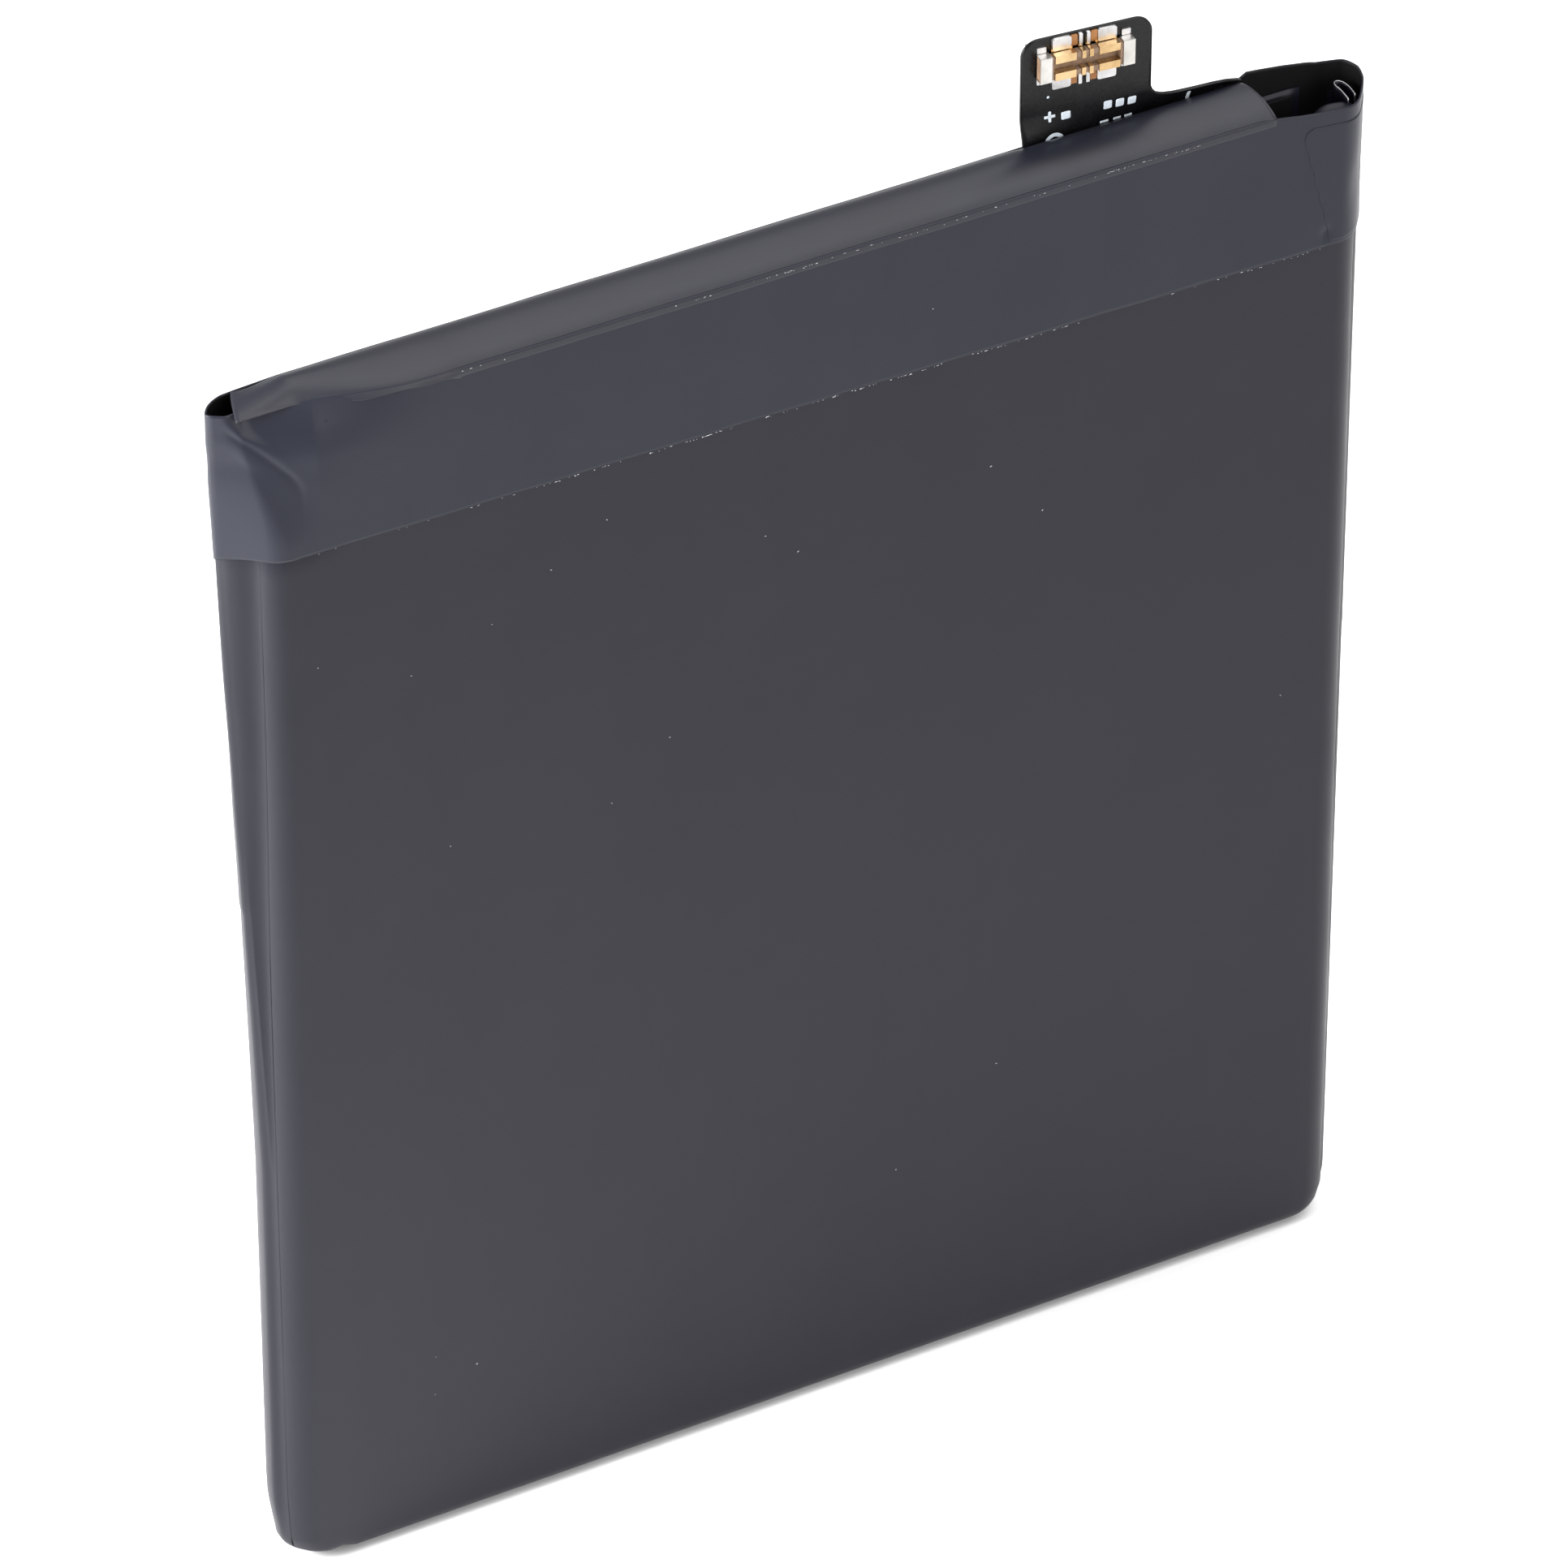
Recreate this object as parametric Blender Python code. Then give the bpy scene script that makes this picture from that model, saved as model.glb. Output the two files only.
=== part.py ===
"""Pouch battery cell with its protection board, wrap tapes and flexible connector tail.

The cell stands on its folded bottom edge: X runs across its width, +Y points out of its back and
+Z runs up to the terminal end. The origin is the middle of the bottom edge.
"""

import math

import bmesh
import bpy
from mathutils import Vector

MM = 0.001

# Cell body
CELL_WIDTH = 64.0 * MM
CELL_THICKNESS = 3.66 * MM
CELL_HEIGHT = 69.2 * MM
FILM = 0.15 * MM  # laminate film
END_ROUNDING = 0.8 * MM
SEAL_TOP = 72.2 * MM  # top of the flat seal that carries the tabs
SEAL_FRONT = 1.33 * MM  # front face of that seal

# Folded side seals
FLAP_FILM = 0.28 * MM  # two films sealed together
FLAP_BACK_ANGLE = 52.0
FLAP_FREE_ANGLE = -22.0
FLAP_BOTTOM = 0.3 * MM
FLAP_TOP = 71.6 * MM
SPLAY_ANGLE = 47.0  # how far the left flap has sprung open at the top
SPLAY_START = 26.0 * MM

# Clearances between pieces
TIGHT = 0.02 * MM
LOOSE = 0.05 * MM

# Electrode winding
TURN_PITCH = 0.48 * MM
CORE_RADIUS = 0.20 * MM
HALF_TURNS = 5
ELECTRODE = 0.15 * MM
SEPARATOR = 0.04 * MM
WINDING_CENTRE_X = 30.1 * MM

# Tabs
TAB_WIDTH = 4.0 * MM
TAB_FOIL = 0.08 * MM
TAB_FILM = 0.03 * MM
TAB_SEAL_Y = 1.58 * MM
TAB_WELD_Y = 0.89 * MM
TAB_LOW = 58.0 * MM
POSITIVE_X = -14.0 * MM
NEGATIVE_X = 2.0 * MM

# Protection board
BOARD_HALF_LENGTH = 26.0 * MM
BOARD_FRONT = 0.04 * MM
BOARD_BACK = 0.64 * MM
BOARD_LOW = 69.5 * MM
BOARD_TOP = 72.9 * MM

# Wrap tapes
TAPE = 0.10 * MM
BAND_LOW = 64.7 * MM
BAND_TOP = 73.65 * MM
DROOP_LOW = 71.0 * MM
DROOP_X = 26.5 * MM
DROOP_SLOPE = 0.30
DROOP_LIMIT = 1.50 * MM
ROOF_CENTRE_Z = 72.45 * MM
ROOF_RADIUS = 1.87 * MM
ROOF_FRONT_ANGLE = 51.0
ROOF_REAR_ANGLE = 40.0
ROOF_LEFT = -31.3 * MM
ROOF_RIGHT = 26.0 * MM

# Flexible circuit
FLEX = 0.16 * MM
FLEX_Y = 1.44 * MM
HINGE_Z = 74.75 * MM
HINGE_GAP = 0.15 * MM
TAIL_X = 16.86 * MM
TAIL_HALF_WIDTH = 3.63 * MM
TAIL_TOP = 79.88 * MM
TAIL_CORNER = 0.9 * MM
TAIL_YAW = -6.0

# Connector, measured from its own centre: u along it, v across it, w out of the flex
CONNECTOR_U = -0.20 * MM
CONNECTOR_Z = 78.33 * MM
HOUSING_HALF_LENGTH = 2.60 * MM
HOUSING_HALF_WIDTH = 0.66 * MM
HOUSING_HEIGHT = 0.56 * MM
RECESS_HALF_LENGTH = 1.85 * MM
RECESS_HALF_WIDTH = 0.36 * MM
RECESS_FLOOR = 0.20 * MM
CONTACT_METAL = 0.05 * MM
HOLD_DOWN_METAL = 0.06 * MM
FOOT_END = 1.14 * MM
POWER_U = 1.22 * MM
POWER_WIDTH = 1.16 * MM
SIGNAL_U = 0.21 * MM
SIGNAL_WIDTH = 0.22 * MM
HOLD_DOWN_U = 2.30 * MM
HOLD_DOWN_WIDTH = 0.64 * MM

HALF_THICKNESS = CELL_THICKNESS / 2
SIDE_CENTRE_X = CELL_WIDTH / 2 - HALF_THICKNESS  # centre of the round side
FLAP_RADIUS = HALF_THICKNESS + TIGHT


def clear_scene():
    for obj in list(bpy.data.objects):
        bpy.data.objects.remove(obj, do_unlink=True)


def material(name, colour, roughness, metallic=0.0):
    made = bpy.data.materials.new(name)
    made.use_nodes = True
    shader = made.node_tree.nodes["Principled BSDF"]
    shader.inputs["Base Color"].default_value = (*colour, 1.0)
    shader.inputs["Roughness"].default_value = roughness
    shader.inputs["Metallic"].default_value = metallic
    return made


def add_object(name, bm, surface, parent=None):
    """The bmesh as a named object with its faces pointing out."""
    bmesh.ops.recalc_face_normals(bm, faces=bm.faces)
    mesh = bpy.data.meshes.new(name)
    bm.to_mesh(mesh)
    bm.free()
    mesh.materials.append(surface)
    mesh.shade_smooth()
    mesh.set_sharp_from_angle(angle=math.radians(35))
    obj = bpy.data.objects.new(name, mesh)
    bpy.context.scene.collection.objects.link(obj)
    obj.parent = parent
    return obj


def add_empty(name, location, yaw=0.0, parent=None):
    empty = bpy.data.objects.new(name, None)
    bpy.context.scene.collection.objects.link(empty)
    empty.parent = parent
    empty.location = location
    empty.rotation_euler = (0.0, 0.0, math.radians(yaw))
    return empty


def loft(name, rings, surface, parent=None):
    """A closed solid through rings that have equal numbers of points, with flat ends."""
    bm = bmesh.new()
    rows = [[bm.verts.new(point) for point in ring] for ring in rings]
    for low, high in zip(rows, rows[1:]):
        join_rows(bm, low, high)
    bm.faces.new(rows[0])
    bm.faces.new(rows[-1])
    return add_object(name, bm, surface, parent)


def tube(name, outer_rings, inner_rings, surface):
    """A closed wall between outer and inner rings, open at both ends."""
    bm = bmesh.new()
    outer = [[bm.verts.new(point) for point in ring] for ring in outer_rings]
    inner = [[bm.verts.new(point) for point in ring] for ring in inner_rings]
    for rows in (outer, inner):
        for low, high in zip(rows, rows[1:]):
            join_rows(bm, low, high)
    join_rows(bm, outer[0], inner[0])
    join_rows(bm, outer[-1], inner[-1])
    return add_object(name, bm, surface)


def join_rows(bm, first, second):
    count = len(first)
    for i in range(count):
        j = (i + 1) % count
        bm.faces.new((first[i], first[j], second[j], second[i]))


def slab(name, low, high, surface, edge=0.0, parent=None):
    """A box between two corners, with its edges eased by the given width."""
    bm = bmesh.new()
    bmesh.ops.create_cube(bm, size=1.0)
    low, high = Vector(low), Vector(high)
    for vert in bm.verts:
        share = vert.co + Vector((0.5, 0.5, 0.5))
        vert.co = low + Vector(s * (h - l) for s, h, l in zip(share, high, low))
    if edge > 0.0:
        bmesh.ops.bevel(bm, geom=bm.edges[:], offset=edge, segments=1, affect="EDGES")
    return add_object(name, bm, surface, parent)


def extrude_x(name, outline, low_x, high_x, surface, parent=None):
    """An outline of (y, z) points carried along X."""
    rings = [[Vector((x, y, z)) for y, z in outline] for x in (low_x, high_x)]
    return loft(name, rings, surface, parent)


def extrude_y(name, outline, front, back, surface, parent=None):
    """An outline of (x, z) points carried along Y."""
    rings = [[Vector((x, y, z)) for x, z in outline] for y in (front, back)]
    return loft(name, rings, surface, parent)


def strip_outline(path, thickness):
    """Both sides of a bent sheet whose middle follows a path of 2D points."""
    points = [Vector(point) for point in path]
    left, right = [], []
    for i, point in enumerate(points):
        before = (point - points[i - 1]).normalized() if i > 0 else None
        after = (points[i + 1] - point).normalized() if i + 1 < len(points) else None
        along = ((before or after) + (after or before)).normalized()
        normal = Vector((-along.y, along.x))
        straight = before or after
        miter = normal.dot(Vector((-straight.y, straight.x)))
        offset = normal * (thickness / 2 / miter)
        left.append(point + offset)
        right.append(point - offset)
    return left + right[::-1]


def arc(centre, radius, start, end, steps):
    """Points of a circular arc in 2D, with angles in degrees."""
    points = []
    for i in range(steps + 1):
        angle = math.radians(start + (end - start) * i / steps)
        points.append(
            (centre[0] + radius * math.cos(angle), centre[1] + radius * math.sin(angle))
        )
    return points


def racetrack(half_width, front, back, z, steps=10):
    """A flat loop with round sides, between the planes Y = front and Y = back."""
    radius = (back - front) / 2
    middle = (back + front) / 2
    centre_x = half_width - radius
    right = arc((centre_x, middle), radius, -90, 90, steps)
    left = arc((-centre_x, middle), radius, 90, 270, steps)
    return [Vector((x, y, z)) for x, y in right + left]


def pillow_rings(half_width, half_thickness, low, high, rounding, steps=4):
    """Racetracks stacked up Z that draw in at both ends like a rounded slab."""
    rings = []
    for i in range(steps + 1):
        angle = math.radians(90 * i / steps)
        inset = rounding * (1 - math.sin(angle))
        rise = rounding * (1 - math.cos(angle))
        edge = half_thickness - inset
        rings.append(racetrack(half_width - inset, -edge, edge, low + rise))
    top = [[Vector((p.x, p.y, low + high - p.z)) for p in ring] for ring in rings]
    return rings + top[::-1]


def cut(target, cutter, operation="DIFFERENCE"):
    """Joins or cuts with a helper that stays in the file but isn't a part."""
    cutter.hide_render = True
    cutter.display_type = "WIRE"
    modifier = target.modifiers.new(cutter.name, "BOOLEAN")
    modifier.operation = operation
    modifier.solver = "EXACT"
    modifier.object = cutter


# --- Pouch -----------------------------------------------------------------------------------


def build_pouch(film):
    """The drawn front film with its seal flange, and the flat film that closes its back."""
    half_width = CELL_WIDTH / 2
    cup = loft(
        "pouch_cup",
        pillow_rings(half_width, HALF_THICKNESS, 0.0, CELL_HEIGHT, END_ROUNDING),
        film,
    )
    cavity = loft(
        "cutter_cavity",
        pillow_rings(
            half_width - FILM,
            HALF_THICKNESS - FILM,
            FILM,
            CELL_HEIGHT - FILM,
            END_ROUNDING - FILM,
        ),
        film,
    )
    window_half_width = SIDE_CENTRE_X - 0.3 * MM
    window_low = END_ROUNDING + LOOSE
    flange_back = SEAL_FRONT + FILM
    window = slab(
        "cutter_window",
        (-window_half_width, flange_back + TIGHT, window_low),
        (window_half_width, 2 * CELL_THICKNESS, 2 * CELL_HEIGHT),
        film,
    )
    flange_half_width = window_half_width - LOOSE
    flange_low = CELL_HEIGHT - FILM - 0.07 * MM
    flange = slab(
        "join_flange",
        (-flange_half_width, SEAL_FRONT, flange_low),
        (flange_half_width, flange_back, SEAL_TOP),
        film,
    )
    cut(cup, cavity)
    cut(cup, window)
    cut(cup, flange, "UNION")
    slab(
        "pouch_cover",
        (-window_half_width + LOOSE, HALF_THICKNESS - FILM, window_low + LOOSE),
        (window_half_width - LOOSE, HALF_THICKNESS, SEAL_TOP),
        film,
    )


def flap_section(side, splay, steps=9):
    """The folded seal in plan, hinged open about its root at the back by the splay angle."""
    inner = arc((0, 0), FLAP_RADIUS, FLAP_BACK_ANGLE, FLAP_FREE_ANGLE, steps)
    outer = arc((0, 0), FLAP_RADIUS + FLAP_FILM, FLAP_FREE_ANGLE, FLAP_BACK_ANGLE, steps)
    root = Vector(inner[0])
    angle = math.radians(splay)
    cosine, sine = math.cos(angle), math.sin(angle)
    section = []
    for point in inner + outer:
        arm = Vector(point) - root
        turned = Vector((arm.x * cosine - arm.y * sine, arm.x * sine + arm.y * cosine))
        placed = root + turned
        section.append((side * (SIDE_CENTRE_X + placed.x), placed.y))
    return section


def left_splay(z):
    """The left flap lies flat low down and springs open towards the top."""
    rise = max(0.0, z - SPLAY_START) / (FLAP_TOP - SPLAY_START)
    return SPLAY_ANGLE * min(1.0, rise)


def build_side_seals(film):
    levels = [FLAP_BOTTOM, SPLAY_START]
    rise = 8
    for i in range(1, rise + 1):
        levels.append(SPLAY_START + (FLAP_TOP - SPLAY_START) * i / rise)
    left = [[Vector((x, y, z)) for x, y in flap_section(-1, left_splay(z))] for z in levels]
    loft("side_seal_left", left, film)
    section = flap_section(1, 0.0)
    right = [[Vector((x, y, z)) for x, y in section] for z in (FLAP_BOTTOM, FLAP_TOP)]
    loft("side_seal_right", right, film)


# --- Electrode winding -----------------------------------------------------------------------


def winding_path(offset, arc_steps=8):
    """(centre, radius, angle) along a flat spiral. Right ends turn about y = 0, left ends half a
    pitch in front of it, which keeps every flat run level."""
    path = [(-0.8 * WINDING_CENTRE_X, 0.0, CORE_RADIUS + offset, -90.0)]
    for turn in range(HALF_TURNS):
        radius = CORE_RADIUS + offset + turn * TURN_PITCH / 2
        on_right = turn % 2 == 0
        centre_x = WINDING_CENTRE_X if on_right else -WINDING_CENTRE_X
        centre_y = 0.0 if on_right else -TURN_PITCH / 2
        start = -90.0 if on_right else 90.0
        for i in range(arc_steps + 1):
            path.append((centre_x, centre_y, radius, start + 180.0 * i / arc_steps))
    path.append((0.0, centre_y, radius, 90.0))
    return path


def winding_layer(name, offset, thickness, low, high, surface):
    sides = []
    for side in (-thickness / 2, thickness / 2):
        edge = []
        for centre_x, centre_y, radius, degrees in winding_path(offset):
            angle = math.radians(degrees)
            x = centre_x + (radius + side) * math.cos(angle)
            edge.append((x, centre_y + (radius + side) * math.sin(angle)))
        sides.append(edge)
    outline = sides[0] + sides[1][::-1]
    rings = [[Vector((x, y, z)) for x, y in outline] for z in (low, high)]
    loft(name, rings, surface)


def build_winding(cathode, anode, separator, stop_tape):
    """Anode and cathode foils wound together with two separators, from the core outwards."""
    gap = 0.025 * MM
    step = SEPARATOR / 2 + gap + ELECTRODE / 2
    winding_layer("separator_inner", 0.0, SEPARATOR, 1.0 * MM, 67.5 * MM, separator)
    winding_layer("anode_foil", step, ELECTRODE, 1.5 * MM, 67.0 * MM, anode)
    winding_layer("separator_outer", 2 * step, SEPARATOR, 1.0 * MM, 67.5 * MM, separator)
    winding_layer("cathode_foil", 3 * step, ELECTRODE, 2.0 * MM, 66.5 * MM, cathode)
    tape_front = -(HALF_THICKNESS - FILM - 0.015 * MM)
    slab(
        "winding_end_tape",
        (-8.0 * MM, tape_front, 2.0 * MM),
        (8.0 * MM, tape_front + 0.05 * MM, 66.5 * MM),
        stop_tape,
    )


# --- Tabs ------------------------------------------------------------------------------------


def tab_path():
    """From the core of the winding, up through the seal, over and down to the weld plate."""
    bend = (TAB_SEAL_Y - TAB_WELD_Y) / 2
    bend_z = SEAL_TOP + 0.1 * MM
    path = [(0.0, TAB_LOW), (0.0, 67.7 * MM), (TAB_SEAL_Y, 68.75 * MM)]
    path += arc(((TAB_SEAL_Y + TAB_WELD_Y) / 2, bend_z), bend, 0, 180, 8)
    path.append((TAB_WELD_Y, 69.95 * MM))
    return path


def build_tab(name, x, foil, seal_film):
    outline = strip_outline(tab_path(), TAB_FOIL)
    extrude_x(f"{name}_tab", outline, x - TAB_WIDTH / 2, x + TAB_WIDTH / 2, foil)
    gap = 0.01 * MM
    half_foil = TAB_FOIL / 2 + gap
    half_width = TAB_WIDTH / 2 + gap
    rings = []
    for spread in (TAB_FILM, 0.0):
        corners = (
            (x - half_width - 20 * spread, TAB_SEAL_Y - half_foil - spread),
            (x + half_width + 20 * spread, TAB_SEAL_Y - half_foil - spread),
            (x + half_width + 20 * spread, TAB_SEAL_Y + half_foil + spread),
            (x - half_width - 20 * spread, TAB_SEAL_Y + half_foil + spread),
        )
        levels = (69.3 * MM, SEAL_TOP + 0.05 * MM)
        rings.append([[Vector((cx, cy, z)) for cx, cy in corners] for z in levels])
    tube(f"{name}_tab_film", rings[0], rings[1], seal_film)


# --- Protection board ------------------------------------------------------------------------


def board_part(name, x, length, height, width, surface, edge=0.03 * MM):
    """A component on the board's front face: length along X, height out of it, width up Z."""
    middle = (BOARD_LOW + BOARD_TOP) / 2
    front = BOARD_FRONT - TIGHT
    return slab(
        name,
        (x - length / 2, front - height, middle - width / 2),
        (x + length / 2, front, middle + width / 2),
        surface,
        edge,
    )


def build_board(board, nickel, package, ceramic, resistor, polyimide, foam, black_film):
    slab(
        "protection_board",
        (-BOARD_HALF_LENGTH, BOARD_FRONT, BOARD_LOW),
        (BOARD_HALF_LENGTH, BOARD_BACK, BOARD_TOP),
        board,
    )
    plate_back = TAB_WELD_Y - TAB_FOIL / 2 - TIGHT
    for name, x in (("positive", POSITIVE_X), ("negative", NEGATIVE_X)):
        slab(
            f"{name}_weld_plate",
            (x - 2.3 * MM, BOARD_BACK + TIGHT, 69.9 * MM),
            (x + 2.3 * MM, plate_back, 72.0 * MM),
            nickel,
        )
    board_part("mosfet_pair", -20.0 * MM, 5.0 * MM, 0.75 * MM, 2.4 * MM, package)
    board_part("protection_ic", -14.5 * MM, 2.4 * MM, 0.60 * MM, 2.0 * MM, package)
    board_part("sense_resistor", -9.0 * MM, 3.2 * MM, 0.55 * MM, 1.6 * MM, resistor)
    board_part("fuel_gauge_ic", -3.0 * MM, 3.0 * MM, 0.65 * MM, 2.6 * MM, package)
    board_part("thermistor", 23.5 * MM, 1.0 * MM, 0.50 * MM, 0.5 * MM, ceramic)
    for i in range(4):
        number = i + 1
        x = (2.0 + 2.0 * i) * MM
        board_part(f"chip_capacitor_{number}", x, 1.0 * MM, 0.5 * MM, 0.5 * MM, ceramic)
        x = (11.0 + 2.0 * i) * MM
        board_part(f"chip_resistor_{number}", x, 1.0 * MM, 0.35 * MM, 0.5 * MM, resistor)
    slab(
        "component_tape",
        (-BOARD_HALF_LENGTH, -1.02 * MM, BOARD_LOW),
        (BOARD_HALF_LENGTH, -0.97 * MM, 73.1 * MM),
        polyimide,
    )
    slab(
        "header_foam",
        (-28.0 * MM, -1.45 * MM, BOARD_LOW),
        (24.0 * MM, -1.04 * MM, 72.4 * MM),
        foam,
    )
    slab(
        "seal_insulator",
        (-29.0 * MM, 1.13 * MM, 69.35 * MM),
        (29.0 * MM, 1.31 * MM, 72.1 * MM),
        black_film,
    )


# --- Wrap tapes ------------------------------------------------------------------------------


def wrap_ring(contents, clearance, z, directions=48):
    """A taut loop around 2D points: for each direction, the furthest point pushed out by the
    clearance. Loops made with equal numbers of directions can be lofted together."""
    ring = []
    for i in range(directions):
        angle = 2 * math.pi * i / directions
        normal = Vector((math.cos(angle), math.sin(angle)))
        furthest = max(contents, key=normal.dot)
        point = furthest + normal * clearance
        ring.append(Vector((point.x, point.y, z)))
        if i % (directions // 2) == directions // 4:
            across = -1 if point.y > 0 else 1
            for x in (-DROOP_X, -9.0 * MM, 9.0 * MM, DROOP_X, SIDE_CENTRE_X):
                ring.append(Vector((across * x, point.y, z)))
    return ring


def band_contents(z, front, back):
    """What the band is stretched around at this height: the cell end and both folded seals."""
    outline = racetrack(CELL_WIDTH / 2, front, back, z)
    contents = [Vector((p.x, p.y)) for p in outline]
    for side, splay in ((-1, left_splay(z)), (1, 0.0)):
        contents += [Vector(p) for p in flap_section(side, splay) if front < p[1] < back]
    return contents


def end_droop(x, z):
    """How far the band sinks at its two ends, where nothing holds it up."""
    height = (z - DROOP_LOW) / (BAND_TOP - DROOP_LOW)
    droop = DROOP_SLOPE * max(0.0, abs(x) - DROOP_X)
    return min(droop, DROOP_LIMIT) * max(0.0, height)


def build_band(tape):
    """The tape around the terminal end. It leans in towards the roof at the front."""
    levels = (
        (BAND_LOW, -HALF_THICKNESS, HALF_THICKNESS),
        (67.0 * MM, -HALF_THICKNESS, HALF_THICKNESS),
        (CELL_HEIGHT, -HALF_THICKNESS, HALF_THICKNESS),
        (71.0 * MM, -1.74 * MM, 1.83 * MM),
        (72.2 * MM, -1.60 * MM, 1.83 * MM),
        (73.2 * MM, -1.38 * MM, 1.80 * MM),
        (BAND_TOP, -1.13 * MM, 1.78 * MM),
    )
    inner_gap = 0.03 * MM
    inner, outer = [], []
    for z, front, back in levels:
        contents = band_contents(z, front, back)
        for rings, gap in ((inner, inner_gap), (outer, inner_gap + TAPE)):
            ring = wrap_ring(contents, gap, z)
            rings.append([Vector((p.x, p.y, z - end_droop(p.x, z))) for p in ring])
    tube("header_band_tape", outer, inner, tape)


def build_roof(tape):
    """The tape over the top of the terminal end, from the front edge to the flex behind it."""
    middle_radius = ROOF_RADIUS - TAPE / 2
    start, end = 90 + ROOF_FRONT_ANGLE, 90 - ROOF_REAR_ANGLE
    path = arc((0.0, ROOF_CENTRE_Z), middle_radius, start, end, 12)
    extrude_x("header_roof_tape", strip_outline(path, TAPE), ROOF_LEFT, ROOF_RIGHT, tape)


def build_back_label(paper):
    slab(
        "back_label",
        (-27.0 * MM, HALF_THICKNESS + TIGHT, 8.0 * MM),
        (27.0 * MM, HALF_THICKNESS + TIGHT + 0.06 * MM, 42.0 * MM),
        paper,
    )


# --- Flexible circuit and connector ----------------------------------------------------------


def build_flex_root(flex):
    """The part of the flex that stays in the header: soldered to the board, out behind the roof.
    Its top edge has a low shoulder on the right of the tail."""
    board_y = BOARD_BACK + TIGHT + FLEX / 2
    top = HINGE_Z - HINGE_GAP
    path = [
        (board_y, 69.9 * MM),
        (board_y, 71.9 * MM),
        (FLEX_Y, 73.1 * MM),
        (FLEX_Y, top),
    ]
    sheet = extrude_x(
        "flex_root",
        strip_outline(path, FLEX),
        TAIL_X - TAIL_HALF_WIDTH - 0.2 * MM,
        26.3 * MM,
        flex,
    )
    trim = extrude_y(
        "cutter_shoulder",
        [
            (21.6 * MM, 74.50 * MM),
            (25.0 * MM, 74.30 * MM),
            (26.2 * MM, 73.70 * MM),
            (27.5 * MM, 73.00 * MM),
            (27.5 * MM, 76.00 * MM),
            (21.0 * MM, 76.00 * MM),
            (21.0 * MM, 74.70 * MM),
        ],
        0.0,
        3.0 * MM,
        flex,
    )
    cut(sheet, trim)


def build_tail(flex, steel):
    """The free end of the flex and the plate that stiffens it behind the connector."""
    pivot = add_empty("tail_pivot", (TAIL_X, FLEX_Y, HINGE_Z), TAIL_YAW)
    height = TAIL_TOP - HINGE_Z
    inner = TAIL_HALF_WIDTH - TAIL_CORNER
    outline = [(-TAIL_HALF_WIDTH, HINGE_GAP), (TAIL_HALF_WIDTH, HINGE_GAP)]
    outline += arc((inner, height - TAIL_CORNER), TAIL_CORNER, 0, 90, 6)
    outline += arc((-inner, height - TAIL_CORNER), TAIL_CORNER, 90, 180, 6)
    extrude_y("flex_tail", outline, -FLEX / 2, FLEX / 2, flex, pivot)
    slab(
        "stiffener_plate",
        (-3.3 * MM, FLEX / 2 + TIGHT, 1.6 * MM),
        (3.3 * MM, FLEX / 2 + TIGHT + 0.2 * MM, height - 0.3 * MM),
        steel,
        0.04 * MM,
        pivot,
    )
    return pivot


def clip_path(inner_v, inner_w, top_w, outer_v, foot_w, foot_v):
    """A contact bent over one wall of the housing: down inside it, over it, out to its foot."""
    return [
        (-inner_w, inner_v),
        (-top_w, inner_v),
        (-top_w, outer_v),
        (-foot_w, outer_v),
        (-foot_w, foot_v),
    ]


def build_contact(name, u, width, side, metal, parent):
    path = clip_path(
        inner_v=RECESS_HALF_WIDTH - TIGHT - CONTACT_METAL / 2,
        inner_w=RECESS_FLOOR + LOOSE,
        top_w=HOUSING_HEIGHT + TIGHT + CONTACT_METAL / 2,
        outer_v=HOUSING_HALF_WIDTH + TIGHT + CONTACT_METAL / 2,
        foot_w=TIGHT + CONTACT_METAL / 2,
        foot_v=FOOT_END,
    )
    outline = strip_outline([(y, side * v) for y, v in path], CONTACT_METAL)
    extrude_x(name, outline, u - width / 2, u + width / 2, metal, parent)


def build_hold_down(name, u, metal, parent):
    """A metal cap over one end of the housing, soldered down on both sides."""
    top_w = HOUSING_HEIGHT + TIGHT + HOLD_DOWN_METAL / 2
    leg_v = HOUSING_HALF_WIDTH + TIGHT + HOLD_DOWN_METAL / 2
    path = [(-LOOSE, -leg_v), (-top_w, -leg_v), (-top_w, leg_v), (-LOOSE, leg_v)]
    half = HOLD_DOWN_WIDTH / 2
    outline = strip_outline(path, HOLD_DOWN_METAL)
    extrude_x(name, outline, u - half, u + half, metal, parent)


def build_connector(pivot, resin, gold, tin):
    centre = add_empty(
        "connector_centre",
        (CONNECTOR_U, -FLEX / 2, CONNECTOR_Z - HINGE_Z),
        parent=pivot,
    )
    housing = slab(
        "connector_housing",
        (-HOUSING_HALF_LENGTH, -HOUSING_HEIGHT, -HOUSING_HALF_WIDTH),
        (HOUSING_HALF_LENGTH, -0.10 * MM, HOUSING_HALF_WIDTH),
        resin,
        parent=centre,
    )
    recess = slab(
        "cutter_recess",
        (-RECESS_HALF_LENGTH, -1.0 * MM, -RECESS_HALF_WIDTH),
        (RECESS_HALF_LENGTH, -RECESS_FLOOR, RECESS_HALF_WIDTH),
        resin,
        parent=centre,
    )
    cut(housing, recess)
    number = 0
    for side in (1, -1):
        for end in (-1, 1):
            number += 1
            power = f"power_contact_{number}"
            signal = f"signal_contact_{number}"
            build_contact(power, end * POWER_U, POWER_WIDTH, side, gold, centre)
            build_contact(signal, end * SIGNAL_U, SIGNAL_WIDTH, side, gold, centre)
    build_hold_down("hold_down_left", -HOLD_DOWN_U, tin, centre)
    build_hold_down("hold_down_right", HOLD_DOWN_U, tin, centre)


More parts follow.
